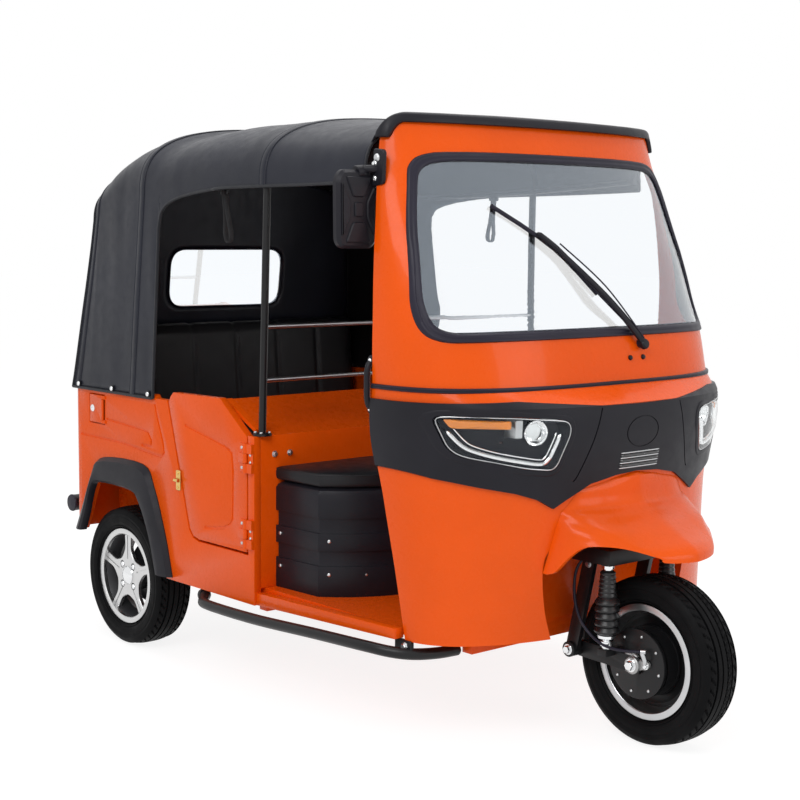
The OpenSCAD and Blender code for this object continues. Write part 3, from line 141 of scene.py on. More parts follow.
def paint(name, c):
    m = Mat(name)
    m.set(Coat_Weight=0.14, Coat_Roughness=0.05, IOR=1.5, Specular_IOR_Level=0.12)
    m.color(m.ramp(m.noise(3.5, 3.0), [(0.3, shade(c, 0.95)), (0.7, shade(c, 1.04))]))
    m.rough(m.spread(m.noise(40.0, 3.0), 0.24, 0.32))
    m.bump((m.noise(130.0, 1.0), 0.03, 0.0005), (m.noise(6.0, 1.0), 0.03, 0.003))
    return m.m


def vinyl(name, c, lo, hi):
    m = Mat(name)
    m.set(Sheen_Weight=0.03, Sheen_Roughness=0.5, Specular_IOR_Level=0.24)
    m.color(m.ramp(m.noise(4.0, 5.0), [(0.3, shade(c, 0.85)), (0.7, shade(c, 1.15))]))
    m.rough(m.spread(m.noise(30.0, 4.0), lo, hi))
    m.bump((m.voronoi(420.0), 0.25, 0.0006), (m.noise(5.5, 2.0, stretch=(0.6, 1.0, 2.2)), 0.2, 0.008))
    return m.m


def glass(name, c, ior):
    m = Mat(name)
    m.set(Base_Color=(*c, 1.0), Transmission_Weight=1.0, IOR=ior, Specular_Tint=(0.78, 0.88, 1.0, 1.0))
    m.rough(m.spread(m.noise(60.0, 2.0), 0.0, 0.015))
    return m.m


PAINT = paint("paint_orange", (0.82, 0.092, 0.002))
PLASTIC = finish("black_plastic", (0.011, 0.0105, 0.015), 0.42, grain=1300.0, depth=0.0003, strength=0.35, gloss=0.2)
GLOSS_BLACK = finish("gloss_black", (0.010, 0.010, 0.012), 0.14, grain=500.0, strength=0.03, Coat_Weight=0.4)
BLACK_METAL = finish("black_metal", (0.008, 0.008, 0.009), 0.34, grain=700.0, strength=0.12, gloss=0.3)
RUBBER = finish("rubber_black", (0.016, 0.014, 0.026), 0.40, grain=900.0, strength=0.12, gloss=0.22)
TYRE = finish("tyre_rubber", (0.004, 0.004, 0.0045), 0.58, vary=0.25, grain=1100.0, strength=0.3, gloss=0.08)
GAITER = finish("gaiter_rubber", (0.010, 0.010, 0.011), 0.30, grain=900.0, strength=0.1, gloss=0.4)
ALLOY = finish("alloy_silver", (0.62, 0.62, 0.62), 0.30, metal=1.0, vary=0.05, grain=1500.0, strength=0.06)
DARK_ALLOY = finish("alloy_dark", (0.030, 0.030, 0.033), 0.42, metal=0.3, vary=0.1)
CHROME = finish("chrome", (0.80, 0.81, 0.82), 0.12, metal=1.0, vary=0.03, grain=600.0, strength=0.03)
STEEL = finish("steel_silver", (0.55, 0.56, 0.57), 0.34, metal=1.0, vary=0.06, grain=1200.0, strength=0.08)
BRASS = finish("brass", (0.72, 0.48, 0.16), 0.28, metal=1.0, vary=0.08, grain=900.0, strength=0.08)
CASTING = finish("cast_metal", (0.42, 0.42, 0.42), 0.46, metal=0.9, vary=0.12, grain=500.0, depth=0.0006, strength=0.3)
SEAT = finish("seat_vinyl", (0.010, 0.010, 0.012), 0.44, grain=420.0, depth=0.0006, strength=0.35, gloss=0.25)
RIBBED = {"vary": 0.1, "grain": 160.0, "depth": 0.001, "strength": 0.5, "Coat_Weight": 0.5}
RED_LENS = finish("red_lens", (0.42, 0.008, 0.006), 0.14, **RIBBED)
AMBER = finish("amber_lens", (0.80, 0.24, 0.02), 0.18, **RIBBED)
WHITE = finish("plate_white", (0.70, 0.70, 0.69), 0.4, vary=0.04)
WEBBING = finish("strap_webbing", (0.020, 0.020, 0.022), 0.8, grain=650.0, depth=0.0012, strength=0.6)
VINYL = vinyl("canopy_vinyl", (0.009, 0.0105, 0.019), 0.34, 0.46)
# Inner face of the canopy: the canopy vinyl made rougher and darker, the darker tone being painted shade for the space
# under the canopy
CANOPY_INSIDE_SHADE = vinyl("canopy_inside_shade", (0.006, 0.006, 0.007), 0.6, 0.7)
HEM = vinyl("canopy_hem", (0.014, 0.015, 0.019), 0.45, 0.55)
GLASS = glass("screen_glass", (0.92, 0.95, 0.98), 2.2)
LENS = glass("lamp_lens", (0.97, 0.98, 0.98), 1.25)

SLOT_MATS = {
    "paint": PAINT, "black_plastic": PLASTIC, "canopy_cloth": VINYL, "glass": GLASS, "lamp_glass": LENS,
    "rubber": RUBBER, "tyre": TYRE, "alloy": ALLOY, "steel": STEEL, "black_metal": BLACK_METAL,
    "seat_cover": SEAT, "engine_metal": CASTING, "red_lens": RED_LENS,
}
ROUNDED = {
    "door_right", "door_left", "body_side_right", "body_side_left", "filler_flap", "bulkhead", "sills", "driver_box",
    "bench_base", "tail_panel", "fork", "front_links", "chassis",
}
SLOT_OF = {row["node"]: row["material_slot"] for row in frame["record"]["subparts"]}
for node, slot in SLOT_OF.items():
    o = NODES[node]
    o.data.materials.clear()
    o.data.materials.append(PAINT if node == "floor_pan" else SLOT_MATS[slot])
    for p in o.data.polygons:
        p.use_smooth = True
    w = o.modifiers.new("weld", "WELD")
    w.merge_threshold = 0.00002
    if node in ROUNDED:
        flat = o.modifiers.new("flat", "DECIMATE")
        flat.decimate_type = "DISSOLVE"
        flat.angle_limit = math.radians(1.0)
        b = o.modifiers.new("round", "BEVEL")
        b.width = 0.0022
        b.segments = 2
        b.limit_method = "ANGLE"
        b.angle_limit = math.radians(40)
        b.harden_normals = False
    e = o.modifiers.new("split", "EDGE_SPLIT")
    e.split_angle = math.radians(28)

# The bars across, between the black posts, are bright
partition = NODES["partition_frame"].data
partition.materials.append(STEEL)
for p in partition.polygons:
    p.material_index = int(abs(p.center.y) < 0.575)


# Shapes
def unit(v):
    v = np.asarray(v, float)
    return v / np.linalg.norm(v)


def axes(w):
    """Two directions square to w."""
    w = unit(w)
    u = unit(np.cross([0, 0, 1] if abs(w[2]) < 0.9 else [0, 1, 0], w))
    return u, np.cross(w, u), w


def loft(rows, ring=True, caps=True):
    rows = np.asarray(rows, float)
    nr, nc = rows.shape[:2]
    f = []
    for r in range(nr - 1):
        for c in range(nc if ring else nc - 1):
            d = (c + 1) % nc
            f.append((r * nc + c, r * nc + d, (r + 1) * nc + d, (r + 1) * nc + c))
    if ring and caps:
        f.append(tuple(range(nc - 1, -1, -1)))
        f.append(tuple((nr - 1) * nc + c for c in range(nc)))
    return rows.reshape(-1, 3), f


def skin(outer, inner):
    """Closed skin between two open grids of points."""
    rows = [np.concatenate([o, i[::-1]]) for o, i in zip(outer, inner)]
    return loft(rows)


def turned(profile, at, axis, n=28, closed=False):
    """Profile of (radius, height) turned about an axis."""
    u, v, w = axes(axis)
    a = np.linspace(0, 2 * math.pi, n, endpoint=False)
    rows = [np.asarray(at) + np.outer(np.cos(a) * r, u) + np.outer(np.sin(a) * r, v) + w * h for r, h in profile]
    if closed:
        rows.append(rows[0])
    return loft(rows, caps=not closed)


def tube(path, r, n=10, flat=1.0, up=None):
    """Round or flattened tube along a path."""
    p = np.asarray(path, float)
    t = np.gradient(p, axis=0)
    u = np.asarray(up, float) if up is not None else axes(t[0])[0]
    rr = np.broadcast_to(np.asarray(r, float), (len(p),))
    a = np.linspace(0, 2 * math.pi, n, endpoint=False)
    rows = []
    for i in range(len(p)):
        w = unit(t[i])
        u = unit(u - w * np.dot(u, w))
        v = np.cross(w, u)
        rows.append(p[i] + np.outer(np.cos(a) * rr[i], u) + np.outer(np.sin(a) * rr[i] * flat, v))
    return loft(rows)


def inset(poly, d):
    """Closed outline drawn in by d."""
    p = np.asarray(poly, float)
    e = np.roll(p, -1, axis=0) - p
    nrm = np.stack([-e[:, 1], e[:, 0]], -1) / np.linalg.norm(e, axis=1)[:, None]
    area2 = np.sum(p[:, 0] * np.roll(p[:, 1], -1) - np.roll(p[:, 0], -1) * p[:, 1])
    nrm *= np.sign(area2)
    m = nrm + np.roll(nrm, 1, axis=0)
    m /= np.maximum(np.sum(m * nrm, axis=1), 0.35)[:, None]
    return p + m * d


def slab(poly, at, x_axis, y_axis, t, bevel):
    """Plate with a bevelled edge: an outline in two directions, raised by t along their cross product."""
    x_axis, y_axis = unit(x_axis), unit(y_axis)
    n = np.cross(x_axis, y_axis)
    rows = []
    for d, h in ((bevel, 0), (0, bevel), (0, t - bevel), (bevel, t)):
        q = inset(poly, d)
        rows.append(np.asarray(at) + np.outer(q[:, 0], x_axis) + np.outer(q[:, 1], y_axis) + n * h)
    return loft(rows)


def plate(poly, at, hand, t, bevel):
    """Bevelled plate that faces sideways, to the right for hand -1."""
    return slab(poly, at, (-hand, 0, 0), (0, 0, 1), t, bevel)


def rect(w, h, r, n=4):
    """Rectangle with round corners."""
    pts = []
    for k, (sx, sy) in enumerate(((1, 1), (-1, 1), (-1, -1), (1, -1))):
        for i in range(n + 1):
            a = math.radians(90 * k + 90 * i / n)
            pts.append((sx * (w / 2 - r) + r * math.cos(a), sy * (h / 2 - r) + r * math.sin(a)))
    return pts


def fillet(pts, r, n=5):
    """Closed outline with its corners rounded."""
    p = np.asarray(pts, float)
    out = []
    for i in range(len(p)):
        a, b, c = p[i - 1], p[i], p[(i + 1) % len(p)]
        u, v = a - b, c - b
        lu, lv = np.linalg.norm(u), np.linalg.norm(v)
        s, e = b + u / lu * min(r, lu * 0.45), b + v / lv * min(r, lv * 0.45)
        for t in np.linspace(0, 1, n):
            out.append((1 - t) ** 2 * s + 2 * t * (1 - t) * b + t * t * e)
    return np.array(out)


def curve(pts, steps=8):
    """Smooth line through points."""
    p = np.asarray(pts, float)
    out = []
    for i in range(len(p) - 1):
        a, b, c, d = p[max(i - 1, 0)], p[i], p[i + 1], p[min(i + 2, len(p) - 1)]
        for k in range(steps):
            t = k / steps
            square, cube = 2 * a - 5 * b + 4 * c - d, 3 * b - a - 3 * c + d
            out.append(0.5 * (2 * b + (c - a) * t + square * t * t + cube * t ** 3))
    out.append(p[-1])
    return np.array(out)


def oval(a, p):
    """Forward and sideways shares of a superellipse at angles from straight ahead."""
    return np.abs(np.cos(a)) ** (2 / p), np.sign(np.sin(a)) * np.abs(np.sin(a)) ** (2 / p)


def around(at, r, n, turn=0.0):
    """Points of a ring about a sideways axis."""
    a = 2 * math.pi * np.arange(n) / n + turn
    return np.asarray(at) + r * np.stack([np.sin(a), 0 * a, np.cos(a)], -1)


def smooth(ob, angle):
    ob.data.polygons.foreach_set("use_smooth", [True] * len(ob.data.polygons))
    ob.data.set_sharp_from_angle(angle=math.radians(angle))
    ob.data.update()


class Piece:
    """Collects the shapes of one piece, in millimetres, with a material for each."""

    def __init__(self, name):
        self.name, self.v, self.f, self.mi, self.mats = name, [], [], [], []

    def add(self, shape, mat):
        if mat not in self.mats:
            self.mats.append(mat)
        k = len(self.v)
        self.v += [tuple(p * MM for p in q) for q in shape[0]]
        self.f += [tuple(i + k for i in f) for f in shape[1]]
        self.mi += [self.mats.index(mat)] * len(shape[1])
        return self

    def dome(self, at, axis, d, mat, h=0.32):
        """Domed screw or rivet head."""
        prof = [(0.5, 0.0), (0.5, 0.1), (0.42, h * 0.7), (0.25, h * 0.95), (0.05, h)]
        return self.add(turned([(r * d, q * d) for r, q in prof], at, axis, 16), mat)

    def bolt(self, at, axis, d, mat):
        """Hexagon bolt head on its washer."""
        self.add(turned([(0.75 * d, 0), (0.75 * d, 0.1 * d), (0.7 * d, 0.14 * d)], at, axis, 18), mat)
        prof = [(0.55, 0.12), (0.55, 0.48), (0.47, 0.58), (0.05, 0.6)]
        return self.add(turned([(r * d, q * d) for r, q in prof], at, axis, 6), mat)

    def make(self):
        me = bpy.data.meshes.new(self.name)
        me.from_pydata(self.v, [], self.f)
        for m in self.mats:
            me.materials.append(m)
        me.polygons.foreach_set("material_index", self.mi)
        bm = bmesh.new()
        bm.from_mesh(me)
        bmesh.ops.recalc_face_normals(bm, faces=bm.faces)
        bm.to_mesh(me)
        bm.free()
        ob = bpy.data.objects.new(self.name, me)
        scene.collection.objects.link(ob)
        return ob

    def build(self, body, angle=35, replaces=(), slot=None):
        ob = self.make()
        settle(ob, body, angle, replaces)
        return ob


def settle(ob, body, angle=35, replaces=()):
    smooth(ob, angle)
    if replaces:
        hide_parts(*replaces)
    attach(ob, body)


def evaluated(ob):
    bpy.context.view_layer.update()
    me = bpy.data.meshes.new_from_object(ob.evaluated_get(bpy.context.evaluated_depsgraph_get()))
    ob.modifiers.clear()
    ob.data = me


def cut(ob, shapes, mat, op="DIFFERENCE"):
    """Cuts solids, given in millimetres, out of a piece."""
    c = Piece("cutter")
    for s in shapes:
        c.add(s, mat)
    cutter = c.make()
    m = ob.modifiers.new("cut", "BOOLEAN")
    m.operation, m.object, m.solver = op, cutter, "EXACT"
    evaluated(ob)
    bpy.data.objects.remove(cutter)


def from_front(pts, x0, x1):
    p = np.asarray(pts, float)
    return loft([np.column_stack([np.full(len(p), x), p]) for x in (x0, x1)])


def from_side(pts, y0, y1):
    p = np.asarray(pts, float)
    return loft([np.column_stack([p[:, 0], np.full(len(p), y), p[:, 1]]) for y in (y0, y1)])


def both(pts):
    """Outline of a half and its mirror image."""
    p = np.asarray(pts, float)
    return np.concatenate([p, (p * [-1, 1])[::-1][(p[::-1, 0] > 0)]])


def hermite(xs, ys):
    """Smooth curves through rows of values that don't overshoot them."""
    xs, ys = np.asarray(xs, float), np.asarray(ys, float)
    h = np.diff(xs)
    d = np.diff(ys, axis=0) / h[:, None]
    m = np.zeros_like(ys)
    m[0], m[-1] = d[0], d[-1]
    same = d[:-1] * d[1:] > 0
    a, b = np.where(same, d[:-1], 1.0), np.where(same, d[1:], 1.0)
    w1, w2 = (2 * h[1:] + h[:-1])[:, None], (h[1:] + 2 * h[:-1])[:, None]
    m[1:-1] = np.where(same, (w1 + w2) / (w1 / a + w2 / b), 0.0)

    def f(x):
        x = np.asarray(x, float)
        i = np.clip(np.searchsorted(xs, x, side="right") - 1, 0, len(xs) - 2)
        t = ((x - xs[i]) / h[i])[..., None]
        hh = h[i][..., None]
        return ((2 * t ** 3 - 3 * t * t + 1) * ys[i] + (t ** 3 - 2 * t * t + t) * hh * m[i]
                + (-2 * t ** 3 + 3 * t * t) * ys[i + 1] + (t ** 3 - t * t) * hh * m[i + 1])
    return f


# Sizes of the CAD part, in millimetres
FX, RX, HW = 1050.0, -870.0, 640.0
CAB_LOW, CAB_H, CAB_BACK, CAB_T = 315.0, 1485.0, 540.0, 24.0
TYRE_D, TYRE_W, RIM_R = 494.0, 140.0, 161.0
TYRE_R = TYRE_D / 2
REAR_Y = 562.0
BELT, ROOF_H = 905.0, 941.0
WELL_Z = 652.0
BAND_TOP, JOINT, BAND_OUT = .456, .488, 9
BULKHEAD_X, HINGE_Z = -58.0, (762, 519)
BOX_X, BOX_LEN, BOX_HW = -57.7, 388.0, 555.0


def cz(s):
    return CAB_LOW + CAB_H * np.asarray(s, float)


def rz(s):
    return BELT + ROOF_H * np.asarray(s, float)


# Cab front: level sections by height, rear edge, half width, front and squareness
CAB = np.array([
    [0, .787, .945, .269, 2.2], [.134, .85, .961, .237, 2.25], [.266, .922, .977, .207, 2.3],
    [.428, 1, .997, .148, 2.5], [BAND_TOP, 1, .997, .152, 2.5], [JOINT, .998, .995, .319, 3],
    [.58, .994, 1, .374, 2.75], [.655, .991, 1, .472, 2.58], [.743, 1.002, .988, .574, 2.38],
    [.786, 1.009, .978, .624, 2.2], [.861, 1.03, .956, .713, 2.05], [.933, 1.074, .914, .787, 2],
    [1.02, 1.096, .875, .88, 2]])
cab_low_f, cab_mid_f, cab_up_f = (hermite(cz(r[:, 0]), r[:, 1:]) for r in (CAB[:5], CAB[4:6], CAB[5:]))


def cab_at(z):
    z = np.asarray(z, float)
    is_low, is_mid = ((z < cz(k))[..., None] for k in (BAND_TOP, JOINT))
    r = np.where(is_low, cab_low_f(z), np.where(is_mid, cab_mid_f(z), cab_up_f(z)))
    return FX - CAB_BACK * r[..., 0], HW * r[..., 1], FX - CAB_BACK * r[..., 2], r[..., 3]


def cab_grid(zs, out, n=121):
    a = np.radians(np.linspace(-90, 90, n))[None, :]
    z = np.asarray(zs, float)
    z = np.repeat(z[:, None], n, 1) if z.ndim == 1 else z
    xe, hw, xa, p = cab_at(z)
    ahead, side = oval(a, p)
    return np.stack([xe + (xa - xe + out) * ahead, (hw + out) * side, z], -1)


def on_cab(y, z, out):
    """Points on the cab's skin at sideways places and heights."""
    y, z = np.asarray(y, float), np.asarray(z, float)
    xe, hw, xa, p = cab_at(z)
    x = xe + (xa - xe + out) * np.maximum(1 - np.minimum(np.abs(y) / (hw + out), 1) ** p, 0) ** (1 / p)
    return np.stack([x, y, z], -1)


def front_pts(shares, hand=1):
    """Sideways places and heights from shares of the cab's size."""
    p = np.asarray(shares, float)
    return np.column_stack([hand * HW * p[:, 0], cz(p[:, 1])])


def patch(pts, outs, caps=True):
    """Closed shape from copies of an outline on the cab, each with its share of the size and its reach."""
    mid = (pts.min(0) + pts.max(0)) / 2
    return loft([on_cab(*(mid + (pts - mid) * k).T, o) for k, o in outs], caps=caps)


SCREEN = [[0, .579], [.598, .578], [.812, .576], [.873, .576], [.919, .583], [.941, .595], [.952, .615], [.955, .644],
          [.95, .673], [.916, .786], [.858, .896], [.836, .913], [.792, .929], [.672, .938], [0, .939]]
BAND = [[0, .32], [.144, .316], [.291, .304], [.416, .276], [.475, .261], [.552, .28], [.652, .294], [.791, .307],
        [.927, .322], [1.03, .341], [1.03, .464], [.656, .469], [.258, .456], [0, .4545]]
LAMP = [[.456, .433], [.436, .413], [.497, .335], [.625, .341], [.875, .366], [.916, .383], [.956, .444], [.703, .442]]
ARCH = [[.41, .44], [.469, .613], [.495, .794], [.469, .89], [.36, .982], [0, 1.012]]


def soften(pts):
    """Closed outline with its corners cut to a curve."""
    for _ in range(2):
        q = np.roll(pts, -1, axis=0)
        pts = np.stack([pts * .75 + q * .25, pts * .25 + q * .75], 1).reshape(-1, 2)
    return pts


screen = soften(both(front_pts(SCREEN)))
screen_mid = (screen.min(0) + screen.max(0)) / 2
screen_half = (screen.max(0) - screen.min(0)) / 2


def drawn(d):
    """The screen's outline drawn in by d."""
    return screen_mid + (screen - screen_mid) * (1 - d / screen_half)


lamp_outline = {h: fillet(front_pts(LAMP, h), 26) for h in (-1, 1)}

# Lower cowl, with holes for the wheel arch and the lamps
cowl_zs = np.concatenate([np.linspace(cz(0), cz(BAND_TOP), 60), np.linspace(cz(BAND_TOP), cz(JOINT), 8)[1:]])
cowl = Piece("cowl_skin").add(skin(cab_grid(cowl_zs, 0), cab_grid(cowl_zs, -CAB_T)), PAINT).make()
arch = curve([[HW * p[0], WELL_Z * p[1]] for p in ARCH], 5)
arch = both(np.concatenate([[[HW * .41, 200.0]], arch]))
cut(cowl, [from_front(arch, 0, 1600)] + [from_front(lamp_outline[h], 600, 1600) for h in (-1, 1)], PAINT)
settle(cowl, "body", 32, ["lower_cowl"])

# The frame's top follows the visor, which drops at its ends
across = np.linspace(-1, 1, 121)
visor_z = 1815 - 50 * np.clip((np.abs(across) - .72) / .28, 0, 1) ** 2
frame_zs = cz(JOINT) + np.linspace(0, 1, 70)[:, None] * (visor_z - 6 - cz(JOINT))
surround = Piece("screen_surround").add(skin(cab_grid(frame_zs, 0), cab_grid(frame_zs, -CAB_T)), PAINT).make()
cut(surround, [from_front(screen, 0, 1600)], PAINT)
settle(surround, "body", 32, ["screen_frame"])

# Screen rubber and glass
seal = Piece("screen_seal")
rows = [(0.5, -20), (0.5, 2), (3, 6), (7, 6.5), (10, 4.2), (13, 4.2), (16, 6), (21, 5), (26, 0), (27, -6), (27, -20)]
seal.add(loft([on_cab(*drawn(d).T, o) for d, o in rows + rows[:1]], caps=False), RUBBER)
seal.build("body", 50, ["screen_rubber"], "rubber")

pane = drawn(27.3)
ks = np.concatenate([[.01], np.linspace(.08, 1, 16)])
Piece("screen_glass").add(patch(pane, [(k, -4) for k in ks] + [(k, -10) for k in ks[::-1]]), GLASS).build(
    "body", 40, ["windscreen"], "glass")

# Bead over the joint of cowl and screen frame
trim = Piece("belt_bead")
prof = [(-7, -6), (-7, 4), (-5, 6.5), (-1.5, 7), (-0.8, 5.6), (0.8, 5.6), (1.5, 7), (5, 6.5), (7, 4), (7, -6)]
line = [cab_grid([float(cz(JOINT))], o)[0] + [0, 0, dz] for dz, o in prof]
trim.add(loft(np.stack(line, 1)), RUBBER)
trim.build("body", 40, ["belt_trim"], "rubber")

# Black lamp band, cut to its outline
band_zs = np.concatenate([np.linspace(cz(.25), cz(BAND_TOP), 40), np.linspace(cz(BAND_TOP), cz(.473), 6)[1:]])
band = Piece("lamp_mask").add(skin(cab_grid(band_zs, BAND_OUT, 161), cab_grid(band_zs, .3, 161)), PLASTIC).make()
cut(band, [from_front(both(front_pts(BAND)), 300, 1600)], PLASTIC, "INTERSECT")


def ribbon(pts, w):
    """Outline of a strip along a line."""
    p = np.asarray(pts, float)
    t = np.gradient(p, axis=0)
    n = np.stack([-t[:, 1], t[:, 0]], -1) / np.linalg.norm(t, axis=1)[:, None]
    return np.concatenate([p + n * w / 2, (p - n * w / 2)[::-1]])


def groove_on_cab(pts, w, deep):
    r = ribbon(pts, w)
    n = len(r) // 2
    lo, hi = on_cab(*r.T, BAND_OUT - deep), on_cab(*r.T, BAND_OUT + 30)
    rows = [[lo[i], lo[-1 - i], hi[-1 - i], hi[i]] for i in range(n)]
    return loft(rows)


# Seams of the band and the bare ring of its emblem place
seams = []
for h in (-1, 1):
    line = [(h * 172, cz(.452)), (h * 200, cz(.39)), (h * 238, cz(.325)), (h * 252, cz(.312))]
    seams.append(groove_on_cab(curve(line, 6), 4, 4))
a = np.linspace(0, 2 * math.pi, 48, endpoint=False)
RING_Z, RING_SQUASH = 908, .66
ring = ((66, 6.5), (70, 6.5), (70, 40), (66, 40), (66, 6.5))
seams.append(loft([on_cab(r * np.cos(a), RING_Z + RING_SQUASH * r * np.sin(a), o) for r, o in ring], caps=False))
cut(band, seams + [from_front(lamp_outline[h], 600, 1600) for h in (-1, 1)], PLASTIC)
settle(band, "body", 32, ["lamp_band"])

# Slots under the ring
grille = Piece("band_slots")
yv = np.linspace(-84, 84, 25)
for zv in (848, 833, 818, 803):
    grille.add(tube(on_cab(yv, np.full(25, zv), 9.4), [1.0] + [2.0] * 23 + [1.0], 8), STEEL)
    if zv > 803:
        grille.add(tube(on_cab(yv, np.full(25, zv - 7.5), 8.6), [2.0] + [4.5] * 23 + [2.0], 8), GLOSS_BLACK)
grille.build("body", slot="black_plastic")


def out_of_cab(y, z):
    """Direction square to the cab's skin."""
    p = on_cab([y, y + 2, y], [z, z, z + 2], 0)
    n = unit(np.cross(p[1] - p[0], p[2] - p[0]))
    return n * np.sign(n[0])


# Head lamps: pan, bezel, projector, light guides, amber panel and lens
PAN = [(.985, 6), (.975, 7), (.96, 2), (.93, -26), (.75, -30), (.5, -32), (.25, -33), (.03, -33), (.03, -36),
       (.5, -36), (.96, -31), (.985, 0), (.985, 6)]
BEZEL = [(-17, 8), (-15, 10.5), (-12, 11.5), (-8, 10.5), (-4, 11.5), (-1, 11), (0, 8), (-17, 8)]
GUIDE = [(.905, .414), (.872, .392), (.835, .379), (.76, .367), (.66, .357), (.565, .3505), (.532, .357),
         (.513, .375), (.487, .407)]
PROJECTOR_Y, PROJECTOR_Z = 378, cz(.409)
lamps, lamp_glass = Piece("lamp_insides"), Piece("lamp_lenses")
for h in (-1, 1):
    o = lamp_outline[h]
    lamps.add(patch(o, PAN, False), PLASTIC)
    lamps.add(loft([on_cab(*inset(o, d).T, q) for d, q in BEZEL], caps=False), PLASTIC)
    ks = np.concatenate([[.01], np.linspace(.1, .985, 12)])
    lamp_glass.add(patch(o, [(k, 12 if k < .95 else 10.5) for k in ks] + [(k, 9) for k in ks[::-1]]), LENS)
    look = out_of_cab(h * PROJECTOR_Y, PROJECTOR_Z)
    at = on_cab(h * PROJECTOR_Y, PROJECTOR_Z, 0) - look * 18
    rim = on_cab(*inset(o, 3).T, 11)
    lamps.add(tube(np.concatenate([rim, rim[:2]]), 1.5, 8), STEEL)
    lamps.add(turned([(20, -12), (26, -2), (30, 8), (35, 10), (38, 6), (39, -2), (36, -14)], at, look, 40), CHROME)
    for k in range(6):
        q = 2 * math.pi * k / 6
        u, v, _ = axes(look)
        lamps.dome(at + (u * math.cos(q) + v * math.sin(q)) * 33 + look * 8, look, 9, CHROME)
    lamps.add(turned([(24, -4), (23, 4), (18, 10), (9, 14), (1, 15)], at, look, 32), LENS)
    g = curve(front_pts(GUIDE, h), 6)
    t = np.gradient(g, axis=0)
    within = np.stack([h * t[:, 1], -h * t[:, 0]], -1) / np.linalg.norm(t, axis=1)[:, None]
    for d, r in ((0, 6.0), (13, 2.2)):
        lamps.add(tube(on_cab(*(g + within * d).T, 2), [r * .5] + [r] * (len(g) - 2) + [r * .5], 10), CHROME)
    amber = front_pts([(.915, .4365), (.70, .434), (.70, .418), (.895, .4195)], h)
    lamps.add(patch(fillet(amber, 6, 4), [(.02, 4), (.5, 4), (.95, 4), (1, 1), (.95, -3), (.02, -3)]), AMBER)
    fins = front_pts([(.685, .4365), (.655, .4365), (.655, .40), (.685, .40)], h)
    lamps.add(patch(fillet(fins, 4, 4), [(.02, 2), (.9, 2), (1, -1), (1, -33), (.02, -33)]), STEEL)
lamps.build("body", 35)
lamp_glass.build("body", 40, ["head_lamps"], "lamp_glass")

# Mudguard: level sections by height, half width, front and squareness
GUARD = np.array([
    [.79, .498, .245, 2], [.844, .486, .253, 2], [.874, .478, .245, 2.05], [.897, .472, .219, 2.15],
    [.943, .461, .109, 2.5], [.992, .448, -.004, 3], [1.038, .441, -.115, 3], [1.072, .441, -.174, 2.6],
    [1.104, .447, -.19, 2.4], [1.143, .4625, -.196, 2.2], [1.178, .364, -.202, 2], [1.19, .19, -.219, 2]])
guard_f = hermite(WELL_Z * GUARD[:, 0], GUARD[:, 1:])
gz = np.linspace(WELL_Z * .79, WELL_Z * 1.19, 80)


def guard_grid(out, crease):
    g = guard_f(gz)
    a = np.radians(np.linspace(-90, 90, 141))[None, :]
    hw, xa, p, xe = HW * g[:, 0:1], FX + TYRE_D * g[:, 1:2], g[:, 2:3], FX - TYRE_D * .405
    ahead, side = oval(a, p)
    edge = np.interp(gz, [540, 584, 640, 669, 700], [95, 143, 225, 262, 300])[:, None]
    off = np.abs(hw * side)
    step = np.clip((edge - off) / 30 + .5, 0, 1)
    lift = out + crease * (step * step * (3 - 2 * step) + 2.2 * np.clip(1 - off / 130, 0, 1) ** 1.3)
    z = gz[:, None] + lift * .5 + 0 * a
    return np.stack([xe + (xa - xe + lift) * ahead, (hw + out) * side, z], -1)


# The guard is cut back to the cowl and along its lower edge
guard = Piece("mudguard_skin").add(skin(guard_grid(0, 5), guard_grid(-12, 0)), PAINT).make()
EDGE = [[-.53, .6], [-.34, .77], [-.259, .799], [-.188, .867], [-.107, .919], [-.012, .928], [.087, .916], [.202, .882],
        [.249, .857], [.6, .84]]
edge = np.concatenate([curve([[FX + TYRE_D * a, WELL_Z * b] for a, b in EDGE], 4), [[FX + TYRE_D * .6, WELL_Z * .6]]])
zs = np.linspace(cz(.1), cz(BAND_TOP), 24)
cut(guard, [loft(cab_grid(zs, 0.8, 121))], PAINT)
cut(guard, [from_side(edge, -HW, HW)], PAINT)
settle(guard, "body", 26, ["mudguard"])

# Visor from the screen's top back to the canopy's front hoop
low_z = 1787 - 44 * np.clip((np.abs(across) - .74) / .12, 0, 1) ** 2
rows = [cab_grid(low_z[None] + dz, o)[0] for dz, o in ((0, 1), (0, 13), (2, 16.5), (5, 18))]
rows += [cab_grid(visor_z[None] + dz, o)[0] for dz, o in ((-7, 18), (-2.5, 15.5), (0, 11), (1.5, 4))]
end = rows[-1].copy()
rear_y = np.clip(end[:, 1], -588, 588)
rear_z = 1642 + 181 * (1 - (np.abs(rear_y) / 600) ** 3) ** (1 / 3)
rear_row = np.stack([np.full(len(rear_y), 424.0), rear_y, rear_z], -1)
for t in (.15, .35, .6, .85, 1):
    rows.append(end * (1 - t) + rear_row * t + [0, 0, 5 * math.sin(math.pi * t)])
cap = Piece("visor_cap").add(loft(rows, ring=False), PLASTIC).make()
th = cap.modifiers.new("wall", "SOLIDIFY")
th.thickness, th.offset = 0.005, -1.0
settle(cap, "body", 40, ["visor"])

